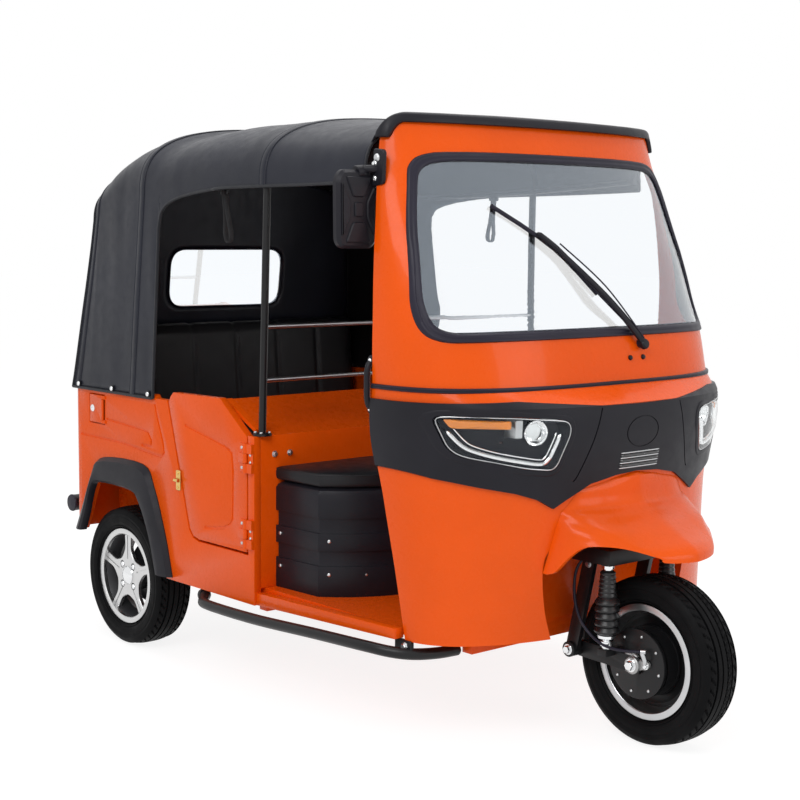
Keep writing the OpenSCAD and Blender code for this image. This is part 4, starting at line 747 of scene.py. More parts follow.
# Canopy: hoops by length, foot's and top's draw-in, spring height and crown
CANOPY = np.array([
    [0, .016, .081, .781, .972], [.079, .0125, .069, .77, .983], [.215, .009, .059, .76, .991],
    [.374, .006, .053, .749, .999], [.493, .003, .05, .745, 1], [.586, 0, .05, .739, .991],
    [.658, 0, .053, .733, .9745], [.721, 0, .056, .73, .987], [.79, 0, .0625, .724, .968],
    [.852, 0, .069, .707, .9256], [.907, 0, .078, .675, .864], [.951, 0, .0875, .632, .802],
    [1, 0, .097, .569, .728]])
CX1, CLEN, CHW = 428.0, 1618.0, 648.5
canopy_f = hermite(CANOPY[:, 0], CANOPY[:, 1:])
OPEN = np.array([[-.032, .758], [.156, .7545], [.412, .75], [.555, .728], [.62, .702], [.649, .664], [.657, .611]])
open_f = hermite(OPEN[:, 0], OPEN[:, 1:])
S_OPEN = .657


def back_x(z):
    return CX1 - CLEN + 18 + CLEN * .0676 * (z - BELT) / ROOF_H


def hoop(s, low, ns=24, na=72):
    """Points of the canopy's section at shares of its length, from a lower edge up and over."""
    r = canopy_f(s)
    foot, top = CHW - HW * r[..., 0], CHW - HW * r[..., 1]
    spring, crown = rz(r[..., 2]), rz(r[..., 3])
    t = np.linspace(0, 1, ns, endpoint=False)
    k = (low[..., None] + (spring - low)[..., None] * t)
    share = (k - BELT) / (spring - BELT)[..., None]
    sy = foot[..., None] + (top - foot)[..., None] * share
    a = np.radians(np.linspace(180, 0, na + 1))
    ay = top[..., None] * np.sign(np.cos(a)) * np.abs(np.cos(a)) ** (2 / 3)
    az = spring[..., None] + (crown - spring)[..., None] * np.abs(np.sin(a)) ** (2 / 3)
    y = np.concatenate([-sy, ay, sy[..., ::-1]], -1)
    z = np.concatenate([k, az, k[..., ::-1]], -1)
    return y, z


front = np.concatenate([np.linspace(0, .60, 70), np.linspace(.605, S_OPEN - .0005, 22)])
rear = np.linspace(0, 1, 70)
s_rows = np.concatenate([front, np.full(len(rear), S_OPEN)])
low = np.concatenate([rz(open_f(front)[:, 0]), np.full(len(rear), BELT)])
y, z = hoop(s_rows, low)
x = CX1 - CLEN * np.repeat(s_rows[:, None], y.shape[1], 1)
x_open = CX1 - CLEN * S_OPEN
for _ in range(5):
    k = len(front)
    x[k:] = x_open + (back_x(z[k:]) - x_open) * rear[:, None]
    for i in range(k, len(s_rows)):
        s = (CX1 - x[i]) / CLEN
        yy, zz = hoop(s, np.full(len(s), BELT))
        j = np.arange(len(s))
        y[i], z[i] = yy[j, j], zz[j, j]
P = np.stack([x, y, z], -1)
BOWS = np.array([416.0, -54.0, -738.0, -1055.0, -1190.0])
du, dv = np.gradient(P, axis=0), np.gradient(P, axis=1)
N = np.cross(du, dv)
N /= np.maximum(np.linalg.norm(N, axis=-1), 1e-9)[..., None]
if N[40, 60, 2] < 0:
    N = -N
gap = np.zeros(x.shape)
for a, b in zip(BOWS[:-1], BOWS[1:]):
    m = (x <= a) & (x > b)
    gap[m] = np.sin(np.pi * (a - x[m]) / (a - b)) * min(1.0, (a - b) / 500)
roof = np.clip((z - rz(.74)) / 120, 0, 1)
wall = 1 - roof
folds = np.zeros(x.shape)
for i in range(x.shape[0]):
    for j in range(x.shape[1]):
        q = P[i, j]
        broad = noise.noise((q[0] / 170, q[1] / 400, q[2] / 520))
        folds[i, j] = broad + .5 * noise.noise((q[0] / 70, q[1] / 300, q[2] / 260 + 7))
hold = np.clip(np.abs(x[..., None] - BOWS).min(-1) / 60, 0, 1)
free = np.clip((z - low[:, None]) / 60, 0, 1)
P += N * (-7 * gap * roof - 3.5 * gap * wall + folds * hold * free * np.where(z > rz(.70), 2.2, 4.0))[..., None]
cloth = Piece("canopy_cloth").add(loft(P, ring=False), VINYL).make()
# The cloth's inner face takes the darker vinyl, painted shade
cloth.data.materials.append(CANOPY_INSIDE_SHADE)
th = cloth.modifiers.new("cloth", "SOLIDIFY")
th.thickness, th.offset, th.material_offset = 0.003, -1.0, 1
settle(cloth, "body", 60, ["canopy"])

# Hems along the edges and welts over the bows
WELT = [(-17, .3), (-15, 2.6), (-12.5, 1.6), (-10, 2.6), (10, 2.6), (12.5, 1.6), (15, 2.6), (17, .3), (15, -1),
        (-15, -1)]
hems = Piece("canopy_hems")
for line in (P[:, 0], P[:, -1]):
    hems.add(tube(line, 5.5, 8), HEM)
hems.add(tube(P[0], 5.0, 8), HEM)
hems.add(tube(P[-1], 5.0, 8), HEM)
for bx in (-54.0, -738.0, -1055.0):
    i = int(np.abs(P[:, 60, 0] - bx).argmin())
    cols = np.arange(24, P.shape[1] - 24) if bx > x_open else np.arange(0, P.shape[1])
    tx = P[min(i + 2, len(P) - 1), cols] - P[i - 2, cols]
    tx /= np.linalg.norm(tx, axis=1)[:, None]
    strip = [P[i, cols] + tx * dx + N[i, cols] * lift for dx, lift in WELT]
    hems.add(loft(np.stack(strip, 1)), VINYL)
hem_ob = hems.build("body", 40, slot="canopy_cloth")

# Back panel of the canopy, from its rear edge to the window
edge_line = P[-1]
bottom = np.linspace(edge_line[-1], edge_line[0], 40)[1:-1]
outer = np.concatenate([edge_line, bottom])
win_mid = np.array([0.0, float(rz(.414))])
win = fillet([(-262, -111), (262, -111), (262, 111), (-262, 111)], 70, 12) + win_mid
ang = np.unwrap(np.arctan2(outer[:, 2] - win_mid[1], outer[:, 1]))
wa = np.arctan2(win[:, 1] - win_mid[1], win[:, 0])
order = np.argsort(wa)
wy = np.interp(ang, wa[order], win[order, 0], period=2 * math.pi)
wz = np.interp(ang, wa[order], win[order, 1], period=2 * math.pi)
inner = np.stack([back_x(wz) + 2, wy, wz], -1)
rows = []
for t in np.linspace(0, 1, 16):
    q = outer * (1 - t) + inner * t
    q[:, 0] = back_x(q[:, 2]) - 7 * math.sin(math.pi * t) + (outer[:, 0] - back_x(outer[:, 2])) * (1 - t)
    rows.append(q)
back = Piece("canopy_back_cloth").add(loft(rows, caps=False), VINYL).make()
th = back.modifiers.new("cloth", "SOLIDIFY")
th.thickness, th.offset = 0.003, 0.0
settle(back, "body", 60, ["canopy_back"])
fr = Piece("rear_window_seal")
ringp = np.concatenate([inner, inner[:2]])
fr.add(tube(ringp - [3, 0, 0], 8.0, 8, .6), RUBBER)
fr.build("body", 50, slot="rubber")

# Studs along the canopy's foot
studs = Piece("canopy_studs")
for sx in (-1127, -897, -661):
    for h in (-1, 1):
        studs.dome((sx, h * 651, 918), (0, h, 0), 17, CHROME)
        studs.add(turned([(12, -2), (12, 1), (10, 2.2)], (sx, h * 650, 918), (0, h, 0), 18), BLACK_METAL)
stud_ob = studs.build("body")


# Tyres with their tread
def tyre(name, node, at, body):
    prof = [(0, .36), (.05, .385), (.105, .37), (.17, .43), (.302, .488), (.42, .499), (.535, .5), (.65, .494),
            (.72, .50), (.76, .488), (.83, .47), (.885, .447), (.925, .42)]
    half = [(RIM_R + (TYRE_R - RIM_R) * a, TYRE_W * b, 0) for a, b in prof]
    ys = [58, 55, 52, 49, 45, 41, 38, 36.2, 36, 29.2, 29, 24, 19, 14, 13.8, 8.2, 8, 4, 0]
    grooved = [0, 0, 0, 0, 0, 0, 0, 0, 1, 1, 0, 0, 0, 0, 1, 1, 0, 0, 0]
    for yv, g in zip(ys, grooved):
        half.append((TYRE_R - 9 * (yv / 58) ** 3 - .3, yv, 2 if g else 1))
    full = half + [(r, -yv, g) for r, yv, g in half[-2::-1]]
    n = 288
    th = np.arange(n) * 2 * math.pi / n
    rows = []
    for r, yv, g in full:
        rad = np.full(n, r)
        if g == 2:
            rad -= 6.5
        elif g == 1:
            shift = abs(yv) * .0045 * (1 if abs(yv) > 36 else -1) * (1 if yv > 0 else -1)
            pitch = 48 if abs(yv) > 36 else 72
            ph = (th + shift) * pitch / (2 * math.pi) % 1
            deep = 7 if abs(yv) > 38 else (3.5 if 8.2 < abs(yv) < 29 else 0)
            rad -= np.where(ph < .22, deep, 0)
        rows.append(np.stack([at[0] + rad * np.cos(th), np.full(n, at[1] + yv), at[2] + rad * np.sin(th)], -1))
    t = Piece(name)
    rows.append(rows[0])
    t.add(loft(rows, caps=False), TYRE)
    for rr, q in ((212, .5), (196, .498), (180, .478)):
        for s in (-1, 1):
            line = [(rr - 1.6, -1), (rr - .8, .9), (rr + .8, .9), (rr + 1.6, -1)]
            t.add(turned(line, (at[0], at[1] + s * (TYRE_W * q - .6), at[2]), (0, s, 0), 96, True), TYRE)
    t.build(body, 32, [node], "tyre")


tyre("tyre_rear_right", "rear_tyre_right", (RX, -REAR_Y, TYRE_R), "wheel_rear_right")
tyre("tyre_rear_left", "rear_tyre_left", (RX, REAR_Y, TYRE_R), "wheel_rear_left")
tyre("tyre_front", "front_tyre", (FX, 0, TYRE_R), "wheel_front")


def rim_barrel(piece, at, hand, lip_mat, mat):
    """Wheel rim: bright outer lips and a drop centre."""
    out = np.array([0, hand, 0])
    barrel = [(-3, -56), (6, -58), (8, -60), (6, -61), (-10, -60), (-14, -40), (-28, 0), (-16, 36), (-11, 46),
              (-6, 46), (-6, 0), (-6, -50)]
    lip = [(-12, 44), (-12, 57), (-9, 60), (4, 61), (8, 59.5), (7.5, 57), (-2, 54), (-4, 44)]
    piece.add(turned([(RIM_R + a, b) for a, b in barrel], at, out, 72, True), mat)
    piece.add(turned([(RIM_R + a, b) for a, b in lip], at, out, 96, True), lip_mat)


def alloy(name, node, at, body, hand):
    """Cast wheel: five grooved spokes, lug nuts in recesses and a chrome cap."""
    w = Piece(name)
    rim_barrel(w, at, hand, ALLOY, DARK_ALLOY)
    at = np.array(at, float)
    out = np.array([0, hand, 0.0])
    w.add(turned([(57, -10), (58, 30), (50, 36), (24, 36), (23, -10)], at, out, 48, True), DARK_ALLOY)
    face = 47.0
    r1 = 151.0
    pts = []
    for k in range(5):
        a = 2 * math.pi * k / 5
        u, v = np.array([math.sin(a), math.cos(a)]), np.array([math.cos(a), -math.sin(a)])
        b = a + math.pi / 5
        wv = np.array([math.sin(b), math.cos(b)])
        pts += [u * r1 * .62 - v * 17, u * r1 * .8 - v * 16.5, u * r1 - v * 20, u * r1 + v * 20, u * r1 * .8 + v * 16.5,
                u * r1 * .62 + v * 17, wv * r1 * .46]
    star = fillet(pts, 16, 5)
    sp = Piece(name + "_star").add(slab(star, at + out * (face - 16), (1, 0, 0), (0, 0, -hand), 16, 2.5), ALLOY).make()
    grooves = []
    for k in range(5):
        a = 2 * math.pi * k / 5
        u = np.array([math.sin(a), 0, -hand * math.cos(a)])
        v = np.cross(u, out)
        mid = at + u * 104 + out * face
        corners = ((-1, -1), (1, -1), (1, 1), (-1, 1))
        grooves.append(loft([[mid + u * s * 44 - v * q * 3.2 * (1 - .25 * d) + out * (1.5 - 4.5 * d)
                              for s, q in corners] for d in (0, 1)]))
    lugs = around(at + out * face, 50, 4, math.pi / 4)
    cut(sp, grooves, DARK_ALLOY)
    cut(sp, [turned([(13, -9), (14, 4)], p, out, 24) for p in lugs], DARK_ALLOY)
    settle(sp, body, 30)
    for p in lugs:
        w.add(turned([(11, -9), (11, -2), (9, 1), (1, 2)], p, out, 6), CHROME)
    cap = [(33, -4), (33, 3), (30, 6), (29, 5), (27, 7), (20, 10), (8, 12), (1, 12.3)]
    w.add(turned(cap, at + out * face, out, 48), CHROME)
    w.build(body, 32, [node], "alloy")


alloy("alloy_right", "rear_rim_right", (RX, -REAR_Y, TYRE_R), "wheel_rear_right", -1)
alloy("alloy_left", "rear_rim_left", (RX, REAR_Y, TYRE_R), "wheel_rear_left", 1)

# Front wheel, its hub disc and drum
fw = Piece("front_wheel_rim")
at_f = np.array([FX, 0, TYRE_R])
rim_barrel(fw, at_f, -1, STEEL, STEEL)
rim_barrel(fw, at_f, 1, STEEL, STEEL)
prof = [(33, 0), (33, 12), (110, 12), (126, 20), (142, 14), (150, 6), (150, 0), (126, 8), (110, 0)]
disc = Piece("front_wheel_disc").add(turned(prof, at_f, (0, -1, 0), 72, True), BLACK_METAL).make()
slots = []
for k in range(10):
    a = 2 * math.pi * k / 10
    c = at_f + np.array([math.sin(a), 0, math.cos(a)]) * 122
    u = np.array([math.cos(a), 0, -math.sin(a)])
    slots.append(slab(rect(44, 20, 9), c - [0, 40, 0], u, np.cross([0, 1, 0], u), -60, 0.1))
cut(disc, slots, BLACK_METAL)
settle(disc, "wheel_front", 32)
fw.build("wheel_front", 32, ["front_rim"], "steel")
drum = Piece("front_drum_rivets")
for q in around(at_f - [0, 69, 0], 88, 12):
    drum.dome(q, (0, -1, 0), 10, STEEL)
drum.add(turned([(99.5, -16), (102, -20), (102, -24), (99.5, -28)], at_f, (0, 1, 0), 72), BLACK_METAL)
drum.build("wheel_front")

# Axle ends, brake plate and its lever
gear = Piece("front_gear")
for h in (-1, 1):
    o = np.array([0, h, 0.0])
    gear.add(turned([(17, 0), (17, 4), (15, 5)], at_f + o * 112, o, 24), STEEL)
    gear.bolt(at_f + o * 116, o, 26, CHROME)
    gear.bolt((FX - 214, h * 148, 255), o, 22, CHROME)
    gear.bolt((FX - 152, h * 136, 520), o, 14, STEEL)
casting = [(-46, -16), (-30, -30), (6, -30), (30, -14), (54, -10), (62, 4), (52, 16), (24, 14), (6, 30), (-26, 28),
           (-44, 12)]
gear.add(slab(fillet(casting, 12, 4), at_f + [-4, -92, 4], (1, 0, 0), (0, 0, 1), 14, 3), CASTING)
gear.add(turned([(26, 0), (26, 10), (22, 14), (15, 15)], at_f + [0, -104, 0], (0, -1, 0), 32), CASTING)
lever = curve(at_f + np.array([[44, -108, 6], [50, -116, 24], [40, -118, 46]]), 4)
gear.add(tube(lever, [7, *[6] * 7, 5], 10, .6), STEEL)
gear.bolt(at_f + [46, -106, 4], (0, -1, 0), 12, CHROME)
for q in around(at_f - [0, 92, 0], 84, 8, .2):
    gear.dome(q, (0, -1, 0), 9, STEEL)
gear.build("steering")

# Front shock absorbers with ribbed gaiters
shock = Piece("front_springs")
for h in (-1, 1):
    base = np.array([970.0, h * 132, 283.3])
    up = (0, 0, 1)
    rod = [(14, 0), (14, 26), (20, 28), (26, 32), (26, 40), (14, 42), (13, 120), (13, 200)]
    shock.add(turned(rod, base, up, 28), CHROME)
    ribs = [q for k in range(5) for q in ((30, 44 + 21 * k), (36, 49 + 21 * k), (37, 54 + 21 * k), (34, 59 + 21 * k))]
    ribs += [q for k in range(6) for q in ((26 - k, 152 + 13 * k), (28 - k, 156 + 13 * k), (27 - k, 160 + 13 * k))]
    shock.add(turned([(14, 42)] + ribs + [(14, 231)], base, up, 36), GAITER)
    shock.add(turned([(13, 228), (13, 234), (18, 235), (18, 244), (14, 247), (10, 248)], base, up, 28), CHROME)
    shock.add(turned([(15.5, 8), (19, 9), (19, 22), (15.5, 23)], base, up, 28), CHROME)
shock.build("steering", 35, ["front_shocks"], "black_metal")

# Brake hose, from the fork's head to the brake plate
hose_pts = [(905, -140, 545), (890, -152, 536), (872, -158, 505), (866, -160, 465), (868, -160, 420),
            (878, -158, 378), (898, -154, 342), (930, -150, 314), (968, -150, 298), (1006, -147, 292),
            (1044, -138, 292), (1074, -126, 294), (1088, -119, 295)]
hp = curve(hose_pts, 2)
hose = bpy.data.curves.new("brake_hose", "CURVE")
hose.dimensions = "3D"
hose.bevel_depth = 0.0045
hose.bevel_resolution = 3
hose.resolution_u = 6
hose.use_fill_caps = True
spl = hose.splines.new("NURBS")
spl.points.add(len(hp) - 1)
for q, pt in zip(spl.points, hp):
    q.co = (*(pt * MM), 1.0)
spl.order_u = 4
spl.use_endpoint_u = True
hose_ob = bpy.data.objects.new("brake_hose", hose)
scene.collection.objects.link(hose_ob)
hose.materials.append(RUBBER)
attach(hose_ob, "steering")
ends = Piece("hose_ends")
ends.add(turned([(8, 0), (8, 14), (6.5, 16), (5, 22)], (905, -140, 545), hp[1] - hp[0], 16), STEEL)
ends.add(tube([hp[-1], hp[-1] + unit(hp[-1] - hp[-2]) * 14], 7, 12), STEEL)
end_ob = ends.build("steering")

# Handlebar
bars = Piece("handlebar_grips")
bar_at = np.array([747.0, 0, 1025.0])
for h in (-1, 1):
    a = bar_at + 300 * np.array([-.60, h * .78, 0])
    b = bar_at + 300 * np.array([-.86, h * .967, 0])
    path = [a + (b - a) * t for t in np.linspace(0, 1, 30)]
    bars.add(tube(path, [15.5 + 1.4 * (i % 2) for i in range(29)] + [14.0], 14), RUBBER)
    c = bar_at + 300 * np.array([-.5, h * .7, 0])
    bars.add(turned([(19, -16), (21, -12), (21, 12), (19, 16)], c, b - a, 20), BLACK_METAL)
    lev = curve([c + [8, 0, 2], c + [34, h * 20, -2], c + [10, h * 60, -4], c + [-46, h * 108, -4]], 6)
    bars.add(tube(lev, [7] * 6 + [5.5] * (len(lev) - 7) + [7], 10, .7), STEEL)
bars.add(turned([(28, -14), (31, -10), (31, 10), (28, 14)], bar_at + [2, 0, -4], (-.309, 0, .951), 28), BLACK_METAL)
pod = fillet([(-70, -36), (70, -36), (58, 40), (-58, 40)], 26)
bars.add(slab(pod, bar_at + [-6, 0, 34], (0, 1, 0), (.5, 0, .86), 34, 6), PLASTIC)
bars.add(turned([(30, -2), (31, 4), (28, 6), (27, 3), (1, 3)], bar_at + [-6, 0, 34], (-.86, 0, .5), 40), CHROME)
bars.build("steering")

# Mirror
mir = Piece("mirror")
mid = np.array([440.0, -660.0, float(cz(.8242))])
shell = fillet([(-72, -92), (-54, -111), (54, -111), (72, -92), (75, 84), (56, 111), (-56, 111), (-75, 84)], 14, 4)
mir.add(slab(shell, mid, (0, 1, 0), (0, 0, 1), 32, 9), PLASTIC)
for poly in ([(-46, 92), (46, 92), (20, 34), (-20, 34)], [(-46, -94), (-20, -36), (20, -36), (46, -94)],
             [(-62, 76), (-30, 20), (-30, -22), (-60, -78)], [(62, 76), (60, -78), (30, -22), (30, 20)],
             [(-15, -22), (15, -22), (15, 20), (-15, 20)]):
    mir.add(slab(fillet(poly, 8, 4), mid + [28, 0, 0], (0, 1, 0), (0, 0, 1), 9, 3), PLASTIC)
arm = np.array([[.16, .18, .7], [.16, .18, .93], [.25, .25, 1.02], [.41, .38, 1.03], [.54, .63, 1.03]])
mir.add(tube(curve(mid + 111 * arm, 6), 11, 14), PLASTIC)
mir.add(turned([(17, -20), (19, -16), (19, 16), (17, 20)], mid + [18, 20, 106], (0, 1, .1), 24), PLASTIC)
mir.add(plate(fillet([(-26, -54), (22, -46), (26, 50), (-20, 56)], 12), (500, -600, 1656), -1, 14, 3), PLASTIC)
mir.dome((498, -613, 1684), (0, -1, 0), 24, STEEL)
for dz in (12, -30):
    mir.bolt((486, -613, 1656 + dz), (0, -1, 0), 11, CHROME)
mir.add(slab(inset(shell, 9), mid + [-1, 0, 0], (0, 1, 0), (0, 0, 1), 3, .8), CHROME)
mir.build("body", 35, ["side_mirror"], "black_plastic")

# Side steps
steps = Piece("step_tubes")
for h in (-1, 1):
    line = [(-352, 622, 278.7), (-330, 650, 266), (-270, 671, 262), (-1, 681, 269), (299, 681, 285), (518, 672, 292),
            (608, 640, 286), (652, 590, 280), (676, 520, 277), (684, 450, 277)]
    q = curve(line, 8) * [1, h, 1] - [0, 0, 2]
    steps.add(tube(q, [13] + [17] * (len(q) - 2) + [13], 16), BLACK_METAL)
    cap = [(20, 0), (22, 5), (22, 16), (15, 22), (6, 26)]
    steps.add(turned(cap, (-350, h * 628, 275), (-.8, -h * .1, -.3), 20), BLACK_METAL)
steps.build("body", 40, ["side_steps"], "black_metal")

# Small fittings on the body
bits = Piece("body_fittings")
for h in (-1, 1):
    o = np.array([0, h, 0.0])
    grab = curve([(501, h * 628, 972), (500, h * 640, 982), (500, h * 647, 1004), (500, h * 648, 1042),
                  (500, h * 647, 1080), (500, h * 640, 1101), (501, h * 628, 1111)], 6)
    bits.add(tube(grab, 9, 12), PLASTIC)
    for gz_ in (972, 1111):
        bits.add(turned([(15, -4), (15, 4), (11, 7)], (501, h * 630, gz_), o, 20), PLASTIC)
        bits.dome((501, h * 638, gz_), o, 14, CHROME)
    for zz in HINGE_Z:
        for dz in (-12, 12):
            bits.dome((-72, h * 645, zz + dz), o, 11, STEEL)
    bits.add(turned([(30, 0), (30, 7), (26, 9)], (-70, h * 600, 833), (0, 0, 1), 32), BLACK_METAL)
    for k in range(4):
        a = math.pi / 4 + k * math.pi / 2
        bits.bolt((-70 + 22 * math.cos(a), h * 600 + 22 * math.sin(a), 842), (0, 0, 1), 8, STEEL)
    bits.add(plate(rect(26, 68, 5), (-486, h * 640, 642), h, 5, 1), BRASS)
    bits.add(tube([(-500, h * 650, 642), (-476, h * 650, 642)], 6, 12), BRASS)
    for q in (-24, 24):
        bits.dome((-486, h * 645, 642 + q), o, 9, BRASS)
    for by in (500, 560):
        bits.bolt((BULKHEAD_X, h * by, 772), (1, 0, 0), 14, STEEL)
    strip = ((-90, 838), (-90, 851), (-255, 935), (-261, 922))
    bits.add(loft([[(a, yv, b) for a, b in strip] for yv in (h * 585, h * 610)]), PAINT)
    bits.add(plate(rect(70, 34, 6), (620, h * 596, 300), h, 14, 2), BLACK_METAL)
    bits.bolt((630, h * 610, 300), o, 16, CHROME)
    bits.add(plate(rect(58, 84, 8), (RX - 206, h * 609, 590), h, 5.2, 1), RUBBER)
    bits.add(turned([(31, 0), (32, 6), (30, 10), (8, 12)], (-1267, h * 600, 455), o, 28), RUBBER)
BOX = np.array([[0, 1], [.526, .982], [.701, .849], [.856, .638], [.959, .342], [1, 0]])
# Screws round the driver's box
box = BOX * [BOX_LEN, BOX_HW] + [BOX_X, 0]
for bx, bz in ((-36, 520), (-36, 415), (170, 520), (170, 415), (238, 415)):
    y0, y1 = np.interp([bx, bx + 1], box[:, 0], box[:, 1])
    for h in (-1, 1):
        bits.dome((bx, h * y0, bz), (y0 - y1, h, 0), 13, STEEL)
# Screws of the hinge leaves on the doors
for h, door in ((-1, "door_right"), (1, "door_left")):
    leaf = Piece(door + "_screws")
    for zz in HINGE_Z:
        for dz in (-32, 32):
            leaf.dome((-117, h * 645, zz + dz), (0, h, 0), 11, STEEL)
    leaf.build(door)
# Lock of the filler flap
flap_bits = Piece("flap_lock")
lock = [(13, -1), (13, 3), (11, 5), (4, 5.2), (3.5, 3), (.5, 3)]
flap_bits.add(turned(lock, (-1044, -HW, 836), (0, -1, 0), 28), CHROME)
flap_bits.build("flap")
bits.build("body")

# Wiper fittings
wp = Piece("wiper_fittings")
for wy_, wz_ in ((66, 1110), (125, 1110)):
    wp.dome(on_cab(wy_, wz_, 0), (.95, 0, .3), 16, PLASTIC, .5)
piv = on_cab(118, 1150, 20)
wp.add(turned([(16, -6), (16, 4), (12, 9), (1, 10)], piv, (.95, 0, .3), 24), PLASTIC)
knee = on_cab(-.209 * HW, cz(.751), 16)
mid_arm = (piv + knee) / 2 + [14, 0, 6]
arm = curve([piv, piv * .72 + mid_arm * .28 + [6, 0, 0], mid_arm, knee], 8)
wp.add(tube(arm, np.linspace(12, 8, len(arm)), 10, .6, up=(0, 0, 1)), PLASTIC)
run = np.array([on_cab(a * HW, cz(b), 13) for a, b in ((-.11, .707), (-.209, .751), (-.30, .781))])
wp.add(tube(curve(run, 6), [7, *[12] * 11, 7], 10, .8), PLASTIC)
wp.add(tube(curve([piv + [6, -10, 20], mid_arm + [6, -4, 26], knee + [4, 6, 16]], 8), 2.4, 8), RUBBER)
wp.build("body", slot="rubber")

# Hand straps hanging from the side rails
straps = Piece("hand_straps")
for sx, h in ((-289, -1), (-246, 1)):
    zt = 1607.0
    one_side = np.array([(5, 589, 0), (5, 582, -60), (9, 578, -100), (15, 574, -140), (9, 571, -166)]) * [1, h, 1]
    loop = curve(np.concatenate([one_side * [-1, 1, 1], one_side[::-1]]) + [sx, 0, zt], 5)
    straps.add(tube(loop, 10, 12, .22, up=(0, 1, 0)), WEBBING)
    straps.add(plate(rect(44, 26, 5), (sx, h * 591, zt - 2), -h, 7, 1), BLACK_METAL)
straps.build("body")

# Tail
tail = Piece("tail_fittings")
tail.add(slab(rect(300, 150, 8), (-1201, 0, 620), (0, -1, 0), (0, 0, 1), 4, 1), WHITE)
for y_ in (-100, 100):
    tail.bolt((-1205, y_, 620), (-1, 0, 0), 11, STEEL)
tail.add(slab(rect(120, 26, 8), (-1200, 0, 716), (0, -1, 0), (0, 0, 1), 30, 4), PLASTIC)
for h in (-1, 1):
    c = np.array([-1200.0, h * 520, 780])
    tail.add(slab(rect(116, 176, 26, 6), c + [1, 0, 0], (0, -1, 0), (0, 0, 1), 12, 3), PLASTIC)
    for dz, mat in ((50, AMBER), (-50, WHITE)):
        tail.add(slab(rect(72, 40, 10, 5), c + [-22, 0, dz], (0, -1, 0), (0, 0, 1), 7, 2.5), mat)
    tail.add(slab(rect(60, 36, 8), (-1201, h * 420, 560), (0, -1, 0), (0, 0, 1), 7, 2), RED_LENS)
tail.build("body")


# Cushions, blown up a little by a cloth simulation
def cushion(name, node, channels, swell):
    src = NODES[node]
    me = src.data.copy()
    ob = bpy.data.objects.new(name, me)
    scene.collection.objects.link(ob)
    me.materials.clear()
    me.materials.append(SEAT)
    c = np.array([v.co for v in me.vertices])
    lo, hi = c.min(0), c.max(0)
    mid = (lo + hi) / 2
    small = 1 - .012 / (hi - lo)
    for v in me.vertices:
        v.co = Vector(mid + (np.array(v.co) - mid) * small)
    r = ob.modifiers.new("remesh", "REMESH")
    r.mode, r.voxel_size = "VOXEL", 0.009
    evaluated(ob)
    start = np.array([v.co for v in ob.data.vertices])
    cl = ob.modifiers.new("cloth", "CLOTH")
    cl.settings.use_pressure = True
    cl.settings.uniform_pressure_force = 4
    cl.settings.effector_weights.gravity = 0
    for f in range(1, 16):
        scene.frame_set(f)
    evaluated(ob)
    scene.frame_set(1)
    now = np.array([v.co for v in ob.data.vertices])
    move = now - start
    ln = np.linalg.norm(move, axis=1, keepdims=True)
    now = start + move * np.minimum(1, swell / np.maximum(ln, 1e-9))
    now = lo + (now - now.min(0)) * (hi - lo) / (now.max(0) - now.min(0))
    nrm = np.array([v.normal for v in ob.data.vertices])
    ax, places, width = channels
    dip = np.zeros(len(now))
    for pl in places:
        dip = np.maximum(dip, np.exp(-((now[:, ax] - pl) / width) ** 2))
    top = 1 - np.abs(nrm[:, ax])
    under = nrm[:, 2] < -.6
    now -= nrm * (dip * top * .007 * ~under)[:, None]
    now[:, 2] = np.maximum(now[:, 2], lo[2])
    for v, q in zip(ob.data.vertices, now):
        v.co = Vector(q)
    sub = ob.modifiers.new("smooth", "SUBSURF")
    sub.levels = sub.render_levels = 1
    settle(ob, "body", 60, [node])


cushion("bench_seat", "bench_cushion", (1, [-.39, -.195, 0, .195, .39], .008), .014)
cushion("bench_backrest", "bench_back", (1, [-.39, -.195, 0, .195, .39], .008), .012)

# Driver's seat on its box, with a crowned top and a sewn edge
half = np.concatenate([BOX[:1], curve(BOX[1:], 8)])


def box_line(inner, zv):
    q = np.column_stack([BOX_X + inner + (BOX_LEN - 2 * inner) * half[:, 0], (BOX_HW - inner) * half[:, 1]])
    q = np.concatenate([q * [1, -1], q[-2::-1]])
    return np.column_stack([q, np.full(len(q), zv)])


rows = [(26, 689), (9, 690), (2, 695), (0, 704), (0, 718), (1.5, 722), (1.5, 724), (.5, 726), (3, 729), (9, 732),
        (22, 735), (50, 738.5), (90, 741), (130, 742.5), (165, 743)]
seat = Piece("driver_seat").add(loft([box_line(a, b) for a, b in rows]), SEAT)
seat = seat.build("body", 50, ["driver_pad"], "seat_cover")

# Camera at the photograph's viewpoint
CAM_AT = Vector((3.90042, -3.50006, 1.47731))
YAW, PITCH, ROLL, FOCAL_PX = 48.79, 6.15, 0.49, 1563.95
yw, pt, rl = (math.radians(a) for a in (YAW, PITCH, ROLL))
fwd = Vector((-math.sin(yw) * math.cos(pt), math.cos(yw) * math.cos(pt), -math.sin(pt)))
right = Vector((math.cos(yw), math.sin(yw), 0.0))
upv = right.cross(fwd)
r2 = right * math.cos(rl) + upv * math.sin(rl)
u2 = -right * math.sin(rl) + upv * math.cos(rl)
cam = bpy.data.cameras.new("camera")
cam_ob = bpy.data.objects.new("camera", cam)
scene.collection.objects.link(cam_ob)
cam.sensor_width = 36.0
cam.lens = FOCAL_PX * 36.0 / 800.0
cam_ob.matrix_world = Matrix((
    (r2.x, u2.x, -fwd.x, CAM_AT.x), (r2.y, u2.y, -fwd.y, CAM_AT.y), (r2.z, u2.z, -fwd.z, CAM_AT.z), (0, 0, 0, 1)))
scene.camera = cam_ob

# Stage and light
scene.view_settings.view_transform = "Standard"
world = bpy.data.worlds.new("world")
scene.world = world
world.use_nodes = True


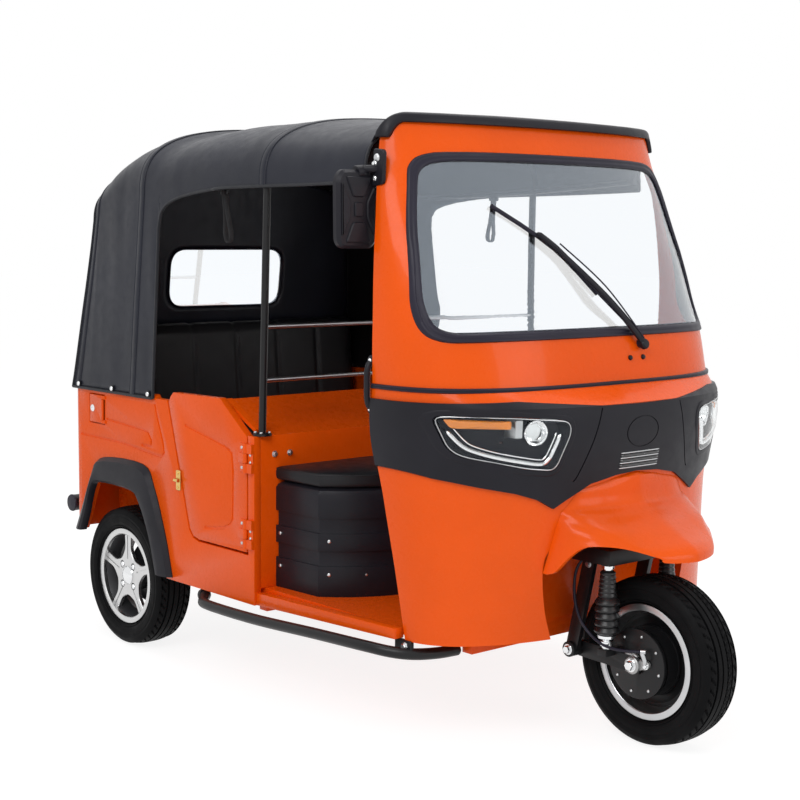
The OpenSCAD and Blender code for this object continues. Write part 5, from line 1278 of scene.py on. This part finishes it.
def seen_rays(tree):
    """1 for what the camera, a reflection or a view through glass sees."""
    lp = tree.nodes.new("ShaderNodeLightPath")
    a, b = (tree.nodes.new("ShaderNodeMath") for _ in range(2))
    a.operation = b.operation = "MAXIMUM"
    tree.links.new(lp.outputs["Is Camera Ray"], a.inputs[0])
    tree.links.new(b.outputs[0], a.inputs[1])
    tree.links.new(lp.outputs["Is Glossy Ray"], b.inputs[0])
    tree.links.new(lp.outputs["Is Transmission Ray"], b.inputs[1])
    return a.outputs[0]


wt = world.node_tree
bg = wt.nodes["Background"]
bg.inputs["Color"].default_value = (1, 1, 1, 1)
level = wt.nodes.new("ShaderNodeMapRange")
level.inputs["To Min"].default_value = 0.5
level.inputs["To Max"].default_value = 1.0
wt.links.new(seen_rays(wt), level.inputs["Value"])
wt.links.new(level.outputs["Result"], bg.inputs["Strength"])


def area(name, at, look, size, power):
    """Area lamp that looks at a point."""
    d = bpy.data.lights.new(name, "AREA")
    d.shape = "RECTANGLE"
    d.size, d.size_y = size
    d.energy = power
    ob = bpy.data.objects.new(name, d)
    scene.collection.objects.link(ob)
    ob.location = at
    ob.rotation_euler = (Vector(look) - Vector(at)).to_track_quat("-Z", "Y").to_euler()


area("key", (2.2, -4.2, 4.2), (0.2, 0, 0.8), (3.0, 2.2), 115)
area("front", (5.2, 1.2, 2.6), (0.6, 0, 0.8), (2.4, 2.4), 45)
area("top", (-0.4, 0.2, 5.0), (0, 0, 0.8), (4.0, 3.0), 90)

floor_me = bpy.data.meshes.new("floor")
S = 40.0
floor_me.from_pydata([(-S, -S, 0), (S, -S, 0), (S, S, 0), (-S, S, 0)], [], [(0, 1, 2, 3)])
floor_ob = bpy.data.objects.new("floor", floor_me)
scene.collection.objects.link(floor_ob)
fm = Mat("floor_white")
fm.set(Base_Color=(0.93, 0.93, 0.93, 1.0), Roughness=0.8, Specular_IOR_Level=0.05)
glow = fm.node("ShaderNodeEmission", Color=(1, 1, 1, 1), Strength=1.2)
mix = fm.node("ShaderNodeMixShader")
share = fm.node("ShaderNodeMapRange", To_Min=0.0, To_Max=0.72)
fm.link(seen_rays(fm.t), share.inputs["Value"])
fm.link(share.outputs["Result"], mix.inputs["Fac"])
fm.link(fm.b.outputs[0], mix.inputs[1])
fm.link(glow.outputs[0], mix.inputs[2])
fm.link(mix.outputs[0], fm.t.nodes["Material Output"].inputs["Surface"])
floor_me.materials.append(fm.m)
